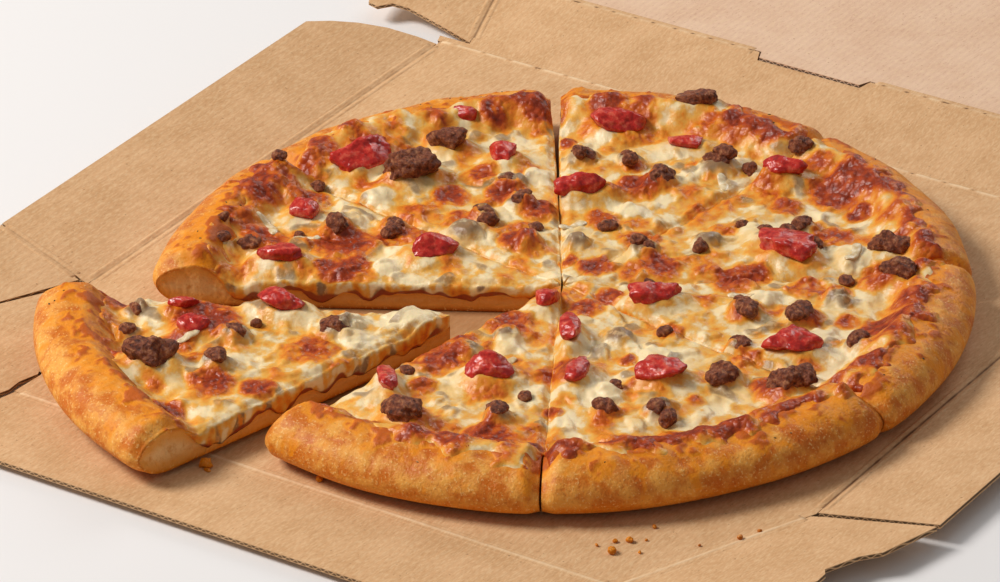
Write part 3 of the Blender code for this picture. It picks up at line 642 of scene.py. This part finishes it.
# Blisters of the cheese: angle, distance from the middle, reach in mm, how far it is baked
BLISTERS = (
    (35, 63, 11, .9), (37, 67, 9, .9), (38, 135, 8, .8), (44, 147, 8, .5), (46, 136, 10, .8),
    (51, 104, 8, .8), (52, 38, 9, .9), (57, 119, 5, 1), (57, 139, 9, .9), (61, 135, 7, .8),
    (65, 122, 13, 1), (65, 148, 5, 1),
    (67, 100, 7, .7), (68, 138, 8, .8), (71, 148, 11, .9), (75, 101, 11, .45), (79, 18, 8, .9),
    (80, 78, 13, .35), (82, 43, 8, .8), (86, 134, 10, .8), (92, 131, 7, .9), (94, 145, 8, 1),
    (102, 79, 10, .9), (106, 51, 8, .7), (106, 92, 5, .6), (112, 146, 10, .9), (115, 130, 7, .8),
    (116, 18, 4, .8), (120, 142, 8, .7), (122, 110, 4, .9), (127, 127, 6, .9), (129, 137, 9, 1),
    (132, 57, 9, .8), (135, 126, 5, .8), (135, 148, 4, .9), (140, 71, 9, .9), (143, 89, 8, .8),
    (143, 148, 7, 1), (145, 143, 10, .8), (149, 36, 8, 1), (154, 80, 8, .9), (157, 146, 9, 1),
    (159, 139, 7, .9), (159, 63, 7, .7), (166, 144, 7, 1), (166, 132, 6, .7), (167, 78, 12, .4),
    (178, 113, 8, .8), (179, 126, 7, .7), (179, 142, 12, 1), (179, 65, 9, .7), (183, 131, 10, 1),
    (185, 73, 7, .7), (187, 136, 6, .8), (191, 86, 14, .9), (193, 146, 9, 1), (194, 133, 6, 1),
    (195, 114, 10, .8), (200, 141, 10, 1), (205, 80, 12, 1), (211, 119, 5, 1), (211, 124, 7, .7),
    (214, 95, 5, .6), (219, 89, 15, 1), (228, 101, 8, .8), (230, 125, 5, .8), (237, 135, 5, .5),
    (243, 58, 11, .7), (246, 99, 9, 1), (249, 121, 7, .9), (253, 87, 7, .9), (263, 54, 5, .6),
    (264, 70, 12, .85), (269, 88, 6, .7), (271, 35, 10, .9), (272, 107, 9, .8), (274, 52, 4, .8),
    (282, 10, 7, .8), (286, 130, 6, .9), (290, 114, 11, 1), (296, 148, 4, .8), (298, 120, 5, 1),
    (299, 142, 4, 1), (301, 93, 4, .7), (303, 67, 10, .9), (303, 136, 9, 1), (310, 127, 6, 1),
    (313, 115, 5, .8), (316, 132, 6, .8), (319, 133, 7, .8), (322, 124, 10, 1), (325, 62, 4, .8),
    (327, 20, 8, .9), (329, 132, 8, 1), (331, 99, 4, .5), (336, 134, 5, 1), (340, 93, 6, .8),
    (340, 130, 6, .7), (343, 134, 6, .7), (346, 110, 10, 1), (350, 52, 6, .8), (351, 87, 7, .7),
    (353, 134, 6, .7), (0, 132, 7, .9), (3, 137, 6, .8), (0, 19, 6, 1), (10, 71, 7, .6), (14, 120, 9, 1),
    (14, 136, 5, .8), (15, 92, 7, 1), (16, 107, 5, .7), (21, 127, 7, .8), (27, 100, 6, .7),
    (29, 88, 8, .8), (32, 115, 9, .8), (34, 116, 8, .8),
)


def unplaced(points, number):
    """Take frame metres back to the pizza's own millimetres: `placed` undone."""
    corners = placed(number, *np.array([[0.0, 1, 0, 0], [0, 0, 1, 0], [0, 0, 0, 1]]))
    return (points - corners[0]) @ np.linalg.inv(corners[1:] - corners[0])


def slice_at(point):
    """The slice that a point of the frame lies on, by its angle about the pizza's middle."""
    angle = math.degrees(math.atan2(point[1] * 1000 - PIZZA_PLACE[1], point[0] * 1000 - PIZZA_PLACE[0]))
    return int(np.searchsorted(CUTS, angle % 360)) or 8


def topping_frame(node):
    """A CAD topping in pizza mm: its slice, middle, half sizes, and its own axes, the longest first."""
    cloud = mesh_array(frame["nodes"][node].data.vertices, "co", 3)
    number = slice_at(cloud.mean(axis=0))
    cloud = unplaced(cloud, number)
    flat = cloud[:, :2] - cloud[:, :2].mean(axis=0)
    long_way = np.linalg.eigh(flat.T @ flat)[1][:, 1]
    axes = np.array([[*long_way, 0.0], [-long_way[1], long_way[0], 0.0], [0.0, 0.0, 1.0]])
    spread = cloud @ axes.T
    low, high = spread.min(axis=0), spread.max(axis=0)
    return number, (low + high) / 2 @ axes, (high - low) / 2, axes


tomatoes = [topping_frame(f"tomato_{index}") for index in range(1, TOMATOES + 1)]
sausages = [topping_frame(f"sausage_{index}") for index in range(1, SAUSAGES + 1)]


def away_from(x, y, angle, distance):
    """How far places are from the place at an angle and a distance from the middle, in mm."""
    turn = math.radians(angle)
    return np.hypot(x - distance * math.cos(turn), y - distance * math.sin(turn))


def baking(number, x, y, radii):
    """How far the cheese is baked, from 0 for cream to 1 for the blisters' red brown.

    The strongest of the blisters near a place, each 1 - (d / reach)^2 of its own strength, made ragged
    by noise of three sizes, with more on the ring at the rim's foot."""
    place = np.stack([x, y], axis=-1)
    most = np.full(x.shape, -0.25)
    for angle, distance, reach, strength in BLISTERS:
        own = CUTS[PULLED_SLICE - 1] < angle < CUTS[PULLED_SLICE]
        if own == (number == PULLED_SLICE):
            spot = strength * (1 - (away_from(x, y, angle, distance) / (1.15 * reach)) ** 2)
            most = np.maximum(most, spot)
    ring = ramp(radii, 108.0, 132.0) * (0.28 + 0.42 * noise(place, 12.0, 77))
    stray = 0.34 * ramp(noise(place, 15.0, 79), -0.1, 0.6)
    ragged = 0.27 * noise(place, 10.0, 71) + 0.17 * noise(place, 4.5, 72) + 0.06 * noise(place, 1.8, 73)
    return np.minimum(np.maximum(most, stray) + ring + ragged, 0.85)


def cheese_relief(number, x, y, radii, edge):
    """The top of the cheese in mm above the pizza's foot, how far it is baked, and where it is over meat.

    On the dough's top stands a blanket that thins towards a wandering outer edge and dips into the
    dough beyond it. Broad noise and drawn-out shreds make its melted folds, and meat swells it in
    patches. Knobs (1 - d^3)^1.5 stand over the crumbs, and plain ones beside them. It laps up round
    each topping, its blisters swell, and its cut edges are round."""
    place = np.stack([x, y], axis=-1)
    broad, folds, small = noise(place, 24.0, 70), noise(place, 10.0, 78), noise(place, 4.0, 80)
    shreds = noise(place @ np.array([[0.09, 0.24], [-0.03, 0.30]]), 1.0, 81)
    towards_bare = (BARE_SIDE[0] * x + BARE_SIDE[1] * y) / np.maximum(radii, 1.0)
    inside = CHEESE_EDGE - 12.0 * ramp(towards_bare, 0.6, 1.0) - radii
    inside += 6.0 * noise(place, 15.0, 74) + 5.0 * noise(place, 6.5, 82)
    top = dough_heights(x, y, radii, edge)[0] - 0.9 + 1.6 * ramp(inside, -1.5, 3.0)
    thick = ramp(inside, 1.0, 18.0)
    top += thick * (3.6 + 1.0 * broad + 0.85 * folds + 0.22 * shreds + 0.14 * small)
    top += thick * 1.1 * ramp(noise(place, 7.5, 83), 0.05, 0.55)
    meat = 0.65 * thick * ramp(noise(place, 8.5, 84), 0.26, 0.60)
    top += 1.2 * meat
    for owner, angle, distance, size in CRUMBS:
        if owner == number:
            away = away_from(x, y, angle, distance) * (1 + 0.22 * small + 0.12 * folds)
            knob = np.clip(1 - (away / (0.68 * size)) ** 3, 0.0, 1.0) ** 1.5
            top += 0.34 * size * knob + 0.10 * size * (1 - ramp(away, 0.3 * size, 1.25 * size))
            meat = np.maximum(meat, knob)
    plain = np.zeros(x.shape)
    for owner, angle, distance, size in CHEESE_KNOBS:
        if owner == number:
            away = away_from(x, y, angle, distance) * (1 + 0.25 * small + 0.2 * folds)
            knob = 1 - ramp(away, 0.15 * size, 0.8 * size)
            top += 0.26 * size * knob
            plain = np.maximum(plain, knob)
    for owner, middle, half, axes in tomatoes + sausages:
        if owner == number:
            across = np.linalg.norm((place - middle[:2]) @ axes[:2, :2].T / half[:2], axis=-1)
            beyond = (across - 1) * math.sqrt(half[0] * half[1]) * (1 + 0.5 * folds)
            lap = (1 - ramp(beyond, -1.0, 9.0)) ** 1.6
            top += np.maximum(middle[2] - half[2] * (0.25 - 0.5 * folds) - top, 0.0) * lap
    bake = baking(number, x, y, radii) - 0.7 * plain
    blister = ramp(bake, 0.20, 0.55) * ramp(inside, -1.0, 2.0)
    wrinkles = 0.3 * np.abs(noise(place, 4.6, 75)) + 0.4 * np.abs(noise(place, 2.3, 76))
    top += blister * (0.5 + wrinkles) + 0.07 * noise(place, 1.7, 73)
    rolled = (1 - ramp(edge, 0.0, 3.8)) ** 2 * ramp(radii, 0.0, 25.0)
    top -= rolled * (1.5 + 0.9 * folds + 0.5 * small)
    crisp = bake + 0.5 * (0.25 - np.abs(noise(place, 4.6, 75))) * blister
    crisp -= 0.25 * (1 - ramp(inside, -1.0, 4.0))
    return top, crisp, meat


def cheese_loops(number):
    """The cheese of a slice as loops: over the top, down one side, back underneath, up the other.

    The sides bulge by a half sine and hang a little over the dough's cut face, further where noise
    says so, but on the rim they draw back from the cut. The underside lies hidden in the dough. Sauce
    shows along the foot of the sides."""
    rows = np.arange(0.0, CHEESE_EDGE + 11.0, CHEESE_STEP)[:, None]
    start, end = slice_cuts(number)

    def plan(shares):
        narrowed = 1 - 0.035 * ramp(rows, 124.0, 140.0)
        x, y, edge = slice_plan(number, rows, 0.5 + (shares[None, :] - 0.5) * narrowed)
        radii = np.hypot(x, y)
        base = dough_heights(x, y, radii, edge)[0]
        return x, y, edge, radii, base

    x, y, edge, radii, base = plan(np.linspace(0.0, 1.0, CHEESE_ACROSS))
    top, bake, meat = cheese_relief(number, x, y, radii, edge)
    x, y = swollen(x, y, radii, edge)
    down = np.linspace(0.0, 1.0, CHEESE_SIDE + 2)[None, 1:-1]

    def side(column, out_x, out_y, steps, seed):
        run = np.stack([rows[:, 0], np.full(len(rows), 7.3)], axis=-1)
        hang = 3.9 + 4.6 * noise(run, 13.0, seed) + 1.6 * noise(run, 4.5, seed + 1)
        grows = ramp(rows, 0.0, 10.0) * (1 - ramp(rows, 116.0, 133.0))
        foot = base[:, column] - np.clip(hang, 0.2, 7.4) * grows[:, 0]
        z = top[:, column, None] + (foot - top[:, column])[:, None] * steps
        bulge = (0.15 + 0.85 * np.sin(math.pi * (0.15 + 0.85 * steps))) * grows
        spots = np.stack(np.broadcast_arrays(rows, steps * 4.0), axis=-1)
        lip = 0.06 + 0.5 * noise(spots, 9.0, seed + 2) + 0.3 * noise(spots, 2.5, seed + 3) + 0.15 * steps
        filling = 0.9 * ramp(noise(spots, 6.5, seed + 5), 0.12, 0.5) * grows
        sauce = ramp(steps + 0.5 * noise(spots, 7.0, seed + 4), 0.55, 0.85) * grows
        return (x[:, column, None] + bulge * out_x, y[:, column, None] + bulge * out_y, z,
                lip * grows + bake[:, column, None] * (1 - grows), filling, sauce)

    far = side(-1, -math.sin(end), math.cos(end), down, 80 + number)
    near = side(0, math.sin(start), -math.cos(start), down[:, ::-1], 90 + number)
    low_x, low_y, low_edge, low_radii, low_base = plan(np.linspace(0.985, 0.015, CHEESE_UNDER))
    low_x, low_y = swollen(low_x, low_y, low_radii, low_edge)
    hidden = np.zeros(low_x.shape)
    over = (x, y, top, bake, meat, np.zeros(x.shape))
    under = (low_x, low_y, low_base - 1.8, hidden, hidden, hidden)
    loops = [np.concatenate(parts, axis=1) for parts in zip(over, far, under, near)]
    return placed(number, *loops[:3]), loops[3:]


def cheese_material():
    """Melted mozzarella: oily and slightly translucent, cream to yellow, amber and red brown as it bakes."""
    material, tree, shader = new_material("melted mozzarella", {
        "Specular IOR Level": 0.38, "Subsurface Weight": 0.10, "Subsurface Radius": (1.0, 0.55, 0.25),
        "Subsurface Scale": 0.0025})
    place = add_node(tree, "TexCoord", output="Object")
    bake, meat, sauce = (add_node(tree, "Attribute", output="Fac", attribute_name=key)
                         for key in ("bake", "meat", "sauce"))
    broad = add_node(tree, "TexNoise", {"Vector": place, "Scale": 60.0, "Detail": 4.0}, "Fac")
    fine = add_node(tree, "TexNoise", {"Vector": place, "Scale": 340.0, "Detail": 4.0,
                                       "Roughness": 0.62}, "Fac")
    grainy = add_node(tree, "Math", {0: fine, 1: 0.5, 2: -0.25}, "Value", operation="MULTIPLY_ADD")
    baked = add_node(tree, "Math", {0: bake, 1: grainy}, "Value", operation="ADD")
    stages = add_node(tree, "ValToRGB", {"Fac": baked}, "Color", (
        (0.0, "dfb877"), (1.0, "7a2406"), (0.12, "e6ac4c"), (0.28, "e08a22"), (0.50, "ca6212"),
        (0.76, "a63c0c")))
    colour = layered(tree, hex_colour("f0dbae"), (
        (broad, 0.48, 0.66, 0.8, "e8bf74"), (fine, 0.54, 0.74, 0.45, "f6e8c8"),
        (baked, -0.10, 0.10, 1.0, stages)))
    crumb = layered(tree, hex_colour("7a5a44"), ((fine, 0.50, 0.62, 1.0, "b09c7e"),))
    colour = layered(tree, colour, (
        (meat, 0.20, 0.85, 0.85, crumb), (baked, 0.12, 0.34, 1.0, colour), (sauce, 0.1, 0.8, 0.9, "8e3014")))
    rough = add_node(tree, "MapRange", {"Value": fine, "From Min": 0.3, "From Max": 0.7,
                                        "To Min": 0.26, "To Max": 0.50}, "Result")
    bubbles = add_node(tree, "TexVoronoi", {"Vector": place, "Scale": 420.0}, "Distance", feature="F1")
    bubbly = add_node(tree, "MapRange", {"Value": baked, "From Min": 0.15, "From Max": 0.50, "To Max": 0.6},
                      "Result", interpolation_type="SMOOTHSTEP")
    swelling = add_node(tree, "Bump", {"Height": bubbles, "Distance": 0.0011, "Strength": bubbly}, "Normal",
                        invert=True)
    dress(tree, shader, colour, ((fine, 0.0009, 0.5),), rough, swelling)
    return material


mozzarella = cheese_material()
for number in SLICES:
    points, values = cheese_loops(number)
    mesh = grid_mesh(f"melted_cheese_{number}", points, wrap_v=True)
    for name, value in zip(("bake", "meat", "sauce"), values):
        attribute(mesh, name, value)
    mend(mesh, fill_ends=True)
    cheese = add_piece(f"melted_cheese_{number}", mesh, mozzarella)
    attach(cheese, "box_and_pizza")
    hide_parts(f"cheese_{number}")


# Toppings
# Diced tomato, wet and pulpy, and crumbled sausage, both sunk in the cheese. Each is a squared ball on
# the place, the size and the long axis of its CAD solid, sliced flat on a few sides and roughened.
def lump(number, middle, half, axes, squareness, rough, seed, facets=0, rounds=44, longs=64):
    """A closed lump: a ball whose coordinates are raised to a power, so that it squares off.

    Rows run from pole to pole and columns round. Flat sides come from planes at random directions, past
    which each point is drawn back along its own ray; noise of several sizes, given as pairs of size in
    mm and share of the half size, then pushes it in and out."""
    draw = np.random.default_rng(seed)
    lift = np.linspace(0.0, math.pi, rounds)[:, None]
    turn = np.linspace(0.0, 2 * math.pi, longs, endpoint=False)[None, :]
    ball = np.stack(np.broadcast_arrays(np.sin(lift) * np.cos(turn), np.sin(lift) * np.sin(turn),
                                        np.cos(lift)), axis=-1)
    squared = np.sign(ball) * np.abs(ball) ** squareness
    for _ in range(facets):
        way = draw.normal(size=3)
        way /= np.linalg.norm(way)
        reach = squared @ way
        limit = draw.uniform(0.55, 0.85)
        squared = squared * np.where(reach > limit, (limit + 0.25 * (reach - limit)) / reach, 1.0)[..., None]
    spots = squared * half + 100.0 * seed
    push = np.ones(ball.shape[:2])
    for k, (size, share) in enumerate(rough):
        push += share * noise(spots, size, seed + k)
    points = squared * half * push[..., None] @ axes + middle
    return placed(number, points[..., 0], points[..., 1], points[..., 2])


def tomato_material():
    """Diced tomato: wet red flesh, glossy and a little translucent, with paler fibres."""
    material, tree, shader = new_material("wet diced tomato", {
        "Roughness": 0.2, "Subsurface Weight": 0.12, "Subsurface Radius": (1.0, 0.25, 0.15),
        "Subsurface Scale": 0.002})
    place = add_node(tree, "TexCoord", output="Object")
    pulp = add_node(tree, "TexNoise", {"Vector": place, "Scale": 380.0, "Detail": 4.0,
                                       "Roughness": 0.6}, "Fac")
    veins = add_node(tree, "TexNoise", {"Vector": place, "Scale": 150.0, "Detail": 3.0}, "Fac")
    flesh = add_node(tree, "ValToRGB", {"Fac": pulp}, "Color", (
        (0.32, "98140f"), (0.72, "e06c52"), (0.52, "c32c22")))
    colour = layered(tree, flesh, ((veins, 0.58, 0.72, 0.5, "d98572"),))
    dress(tree, shader, colour, ((pulp, 0.0012, 0.45),))
    return material


def mottled(name, values, pattern, stops, relief=None):
    """A material whose colour runs over the stops by noise of a scale, a detail and a roughness.

    The same noise makes its relief, given as a distance in metres and a strength."""
    material, tree, shader = new_material(name, values)
    scale, detail, rough = pattern
    grain = add_node(tree, "TexNoise", {"Vector": add_node(tree, "TexCoord", output="Object"),
                                        "Scale": scale, "Detail": detail, "Roughness": rough}, "Fac")
    colour = add_node(tree, "ValToRGB", {"Fac": grain}, "Color", stops)
    dress(tree, shader, colour, ((grain, *relief),) if relief else ())
    return material


TOMATO_ROUGH = ((9.0, 0.24), (3.4, 0.10), (1.5, 0.04))
MEAT_ROUGH = ((7.0, 0.26), (3.0, 0.14), (1.2, 0.08))
TOPPING_SWELL = 1.06
wet_tomato = tomato_material()
# Fried sausage: brown, coarse and greasy; its dents are darker, which is painted shade in its cracks
fried_sausage = mottled("fried sausage crumble", {"Roughness": 0.4, "Specular IOR Level": 0.3},
                        (560.0, 5.0, 0.65), ((0.34, "44190d"), (0.70, "bd8055"), (0.52, "874528")),
                        (0.0022, 0.8))
for prefix, spots, material, squareness, rough, facets, slot in (
        ("tomato", tomatoes, wet_tomato, 0.78, TOMATO_ROUGH, 7, "diced_tomato"),
        ("sausage", sausages, fried_sausage, 0.9, MEAT_ROUGH, 3, "sausage_crumble")):
    for index, (number, middle, half, axes) in enumerate(spots, 1):
        points = lump(number, middle, half * TOPPING_SWELL, axes, squareness, rough, 7 * index, facets)
        mesh = grid_mesh(f"{prefix}_piece_{index}", points, wrap_v=True)
        mend(mesh)
        piece = add_piece(f"{prefix}_piece_{index}", mesh, material)
        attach(piece, "box_and_pizza")
        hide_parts(f"{prefix}_{index}")


# Small crumbs, onion and herbs
# Crumbs of sausage that poke out of the cheese's knobs, strips of onion gone glassy, flakes of dried
# herb stuck to the oily rim, and bits broken off the crust that lie on the board. Each kind is one
# joined piece.
BARE_SHARE = 0.7
# Crumbs that lie on the cheese or the rim by themselves: angle, distance from the middle, diameter
LOOSE_CRUMBS = (
    (195, 131, 5), (200, 128, 6), (175, 133, 6), (173, 119, 6), (191, 104, 5), (182, 73, 8), (153, 54, 8),
    (136, 43, 6), (119, 94, 7), (107, 92, 7), (102, 46, 7), (88, 107, 8), (83, 110, 7), (64, 77, 6),
    (58, 82, 6), (53, 88, 6), (48, 96, 7), (58, 56, 7), (40, 124, 9), (338, 95, 8), (349, 117, 11),
    (323, 108, 8), (347, 53, 6), (73, 37, 6), (30, 32, 5), (9, 73, 8), (11, 90, 7), (78, 127, 9),
    (317, 80, 6), (32, 103, 7), (222, 71, 5), (226, 117, 6), (262, 84, 6), (294, 84, 6),
)
# Onion strips: angle, distance from the middle, length, heading and bend in degrees
ONION_STRIPS = (
    (190, 117, 15, 150, 70), (192, 100, 11, 20, -60), (117, 44, 12, 60, 50), (41, 108, 13, 100, 80),
    (23, 66, 11, 10, -70), (284, 62, 10, 80, -50), (84, 96, 10, 130, 50), (228, 96, 10, 70, 60),
)
# Flakes drawn for the rim, the belt they lie in, and how many degrees from a cut they keep
HERB_FLAKES, HERB_BELT, HERB_CLEARANCE = 80, (124.0, 144.5), 4.0
FAR_FROM_CUTS = np.full((1, 1), 20.0)
# Bits on the board: x, y and diameter in mm in the frame
BOARD_CRUMBS = (
    (-41.6, -162.8, 5.2), (-38.8, -165.0, 2.4), (-1.9, -149.6, 3.0), (110.4, -137.0, 3.4),
    (107.4, -130.3, 2.0), (111.7, -127.6, 2.6), (114.0, -115.3, 1.8), (142.6, -106.2, 2.4),
    (146.0, -98.7, 1.6), (103.6, -135.8, 1.4), (118.5, -132.0, 1.6), (133.4, -117.3, 1.2),
    (116.0, -124.0, 1.2),
)


def spot_at(angle, distance):
    """The slice at a place of the pizza, and its x, y, distance and a far cut, each a grid of one point."""
    x, y = distance * math.cos(math.radians(angle)), distance * math.sin(math.radians(angle))
    spot = [np.array([[value]]) for value in (x, y, distance)]
    return int(np.searchsorted(CUTS, angle)) or 8, [*spot, FAR_FROM_CUTS]


def surface_at(angle, distance):
    """The slice under a place of the pizza, and the place with the height of its cheese, in pizza mm."""
    number, spot = spot_at(angle, distance)
    top = max(cheese_relief(number, *spot)[0][0, 0], dough_heights(*spot)[0][0, 0])
    return number, np.array([spot[0][0, 0], spot[1][0, 0], top])


def joined(name, meshes):
    """Put several meshes into one."""
    shape = bmesh.new()
    for mesh in meshes:
        shape.from_mesh(mesh)
        bpy.data.meshes.remove(mesh)
    whole = bpy.data.meshes.new(name)
    shape.to_mesh(whole)
    shape.free()
    return whole


def scatter_lumps(name, spots, squareness, rough, rounds, longs):
    """Join small lumps: each spot gives slice, middle, half sizes in pizza mm and a seed."""
    meshes = []
    for number, middle, half, seed in spots:
        turn = seed * 2.4
        axes = np.array([[math.cos(turn), math.sin(turn), 0.0], [-math.sin(turn), math.cos(turn), 0.0],
                         [0.0, 0.0, 1.0]])
        points = lump(number, middle, np.array(half), axes, squareness, rough, seed, 2, rounds, longs)
        mesh = grid_mesh(name, points, wrap_v=True)
        mend(mesh)
        meshes.append(mesh)
    return joined(name, meshes)


rng = np.random.default_rng(5)
crumb_spots = []
for index, (_, angle, distance, size) in enumerate(CRUMBS):
    number, middle = surface_at(angle, distance)
    if rng.random() < BARE_SHARE:
        size *= rng.uniform(0.75, 1.0)
        middle[2] -= 0.20 * size
        crumb_spots.append((number, middle, (0.54 * size, 0.44 * size, 0.34 * size), 300 + index))
for index, (angle, distance, size) in enumerate(LOOSE_CRUMBS):
    number, middle = surface_at(angle, distance)
    middle[2] += 0.06 * size
    crumb_spots.append((number, middle, (0.52 * size, 0.42 * size, 0.36 * size), 400 + index))
mesh = scatter_lumps("sausage_crumbs", crumb_spots, 0.95, ((5.0, 0.24), (2.2, 0.16), (1.0, 0.09)), 26, 36)
crumbs = add_piece("sausage_crumbs", mesh, fried_sausage)
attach(crumbs, "box_and_pizza")


def onion_strip(angle, distance, length, heading, bend, seed):
    """A strip carried along an arc on the cheese: a flat oval section that narrows to nothing at its ends."""
    number, middle = surface_at(angle, distance)
    run = np.linspace(-0.5, 0.5, 26)
    way = np.radians(heading + bend * run)
    step = length / (len(run) - 1)
    path = np.stack([np.cumsum(np.cos(way)) * step, np.cumsum(np.sin(way)) * step], axis=-1)
    path += middle[:2] - path[len(run) // 2]
    level = [surface_at(math.degrees(math.atan2(y, x)) % 360, math.hypot(x, y))[1][2] for x, y in path]
    level = np.convolve(np.pad(level, 2, mode="edge"), np.full(5, 0.2), "valid")
    round_it = np.linspace(0.0, 2 * math.pi, 12, endpoint=False)
    taper = np.sqrt(np.clip(1 - (2 * run) ** 4, 0.0, 1.0))[:, None]
    wide, thick = 1.9 * np.cos(round_it) * taper, 0.7 * np.sin(round_it) * taper
    x = path[:, :1] - np.sin(way)[:, None] * wide
    y = path[:, 1:] + np.cos(way)[:, None] * wide
    lifted = level[:, None] + 0.1 + 0.5 * noise(np.stack([run * 9, run * 0 + seed], axis=-1), 2.0, 8)[:, None]
    mesh = grid_mesh("onion_strips", placed(number, x, y, lifted + thick), wrap_v=True)
    mend(mesh)
    return mesh


# Baked onion: glassy and wet, almost white, with fine cloudiness
baked_onion = mottled("baked onion", {
    "Roughness": 0.2, "Subsurface Weight": 0.3, "Subsurface Radius": (1.0, 0.8, 0.6),
    "Subsurface Scale": 0.002}, (500.0, 3.0, 0.5), ((0.35, "cbb083"), (0.65, "eedfbf")))
strips = joined("onion_strips", [onion_strip(*strip, seed) for seed, strip in enumerate(ONION_STRIPS)])
onion = add_piece("onion_strips", strips, baked_onion)
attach(onion, "box_and_pizza")

# Dried herb: dull, dark green to brown
dried_herb = mottled("dried herb", {"Roughness": 0.7}, (90.0, 2.0, 0.5), ((0.4, "33301a"), (0.6, "5b4a22")))
flake_spots = []
for index in range(HERB_FLAKES):
    angle, distance, size = rng.uniform(0.0, 360.0), rng.uniform(*HERB_BELT), rng.uniform(0.35, 0.8)
    if np.abs(angle - np.array(CUTS)).min() > HERB_CLEARANCE:
        number, spot = spot_at(angle, distance)
        middle = np.array([value[0, 0] for value in (*swollen(*spot), dough_heights(*spot)[0])])
        flake_spots.append((number, middle, (size, 0.4 * size, 0.3), 600 + index))
mesh = scatter_lumps("herb_flakes", flake_spots, 1.0, ((1.0, 0.2),), 6, 8)
flakes = add_piece("herb_flakes", mesh, dried_herb)
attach(flakes, "box_and_pizza")

# Slice 1 isn't pulled, so its places are the box's own
bits = []
for index, (x, y, size) in enumerate(BOARD_CRUMBS):
    middle = np.array([x, y, BOARD * 1000 + 0.33 * size]) - PIZZA_PLACE
    bits.append((1, middle, (0.5 * size, 0.4 * size, 0.36 * size), 800 + index))
mesh = scatter_lumps("crust_bits", bits, 0.9, ((2.0, 0.3), (0.8, 0.2)), 18, 26)
attribute(mesh, "depth", np.zeros(len(mesh.vertices)))
attribute(mesh, "stain", np.full(len(mesh.vertices), 0.45))
bits = add_piece("crust_bits", mesh, baked_crust)
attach(bits, "box_and_pizza")
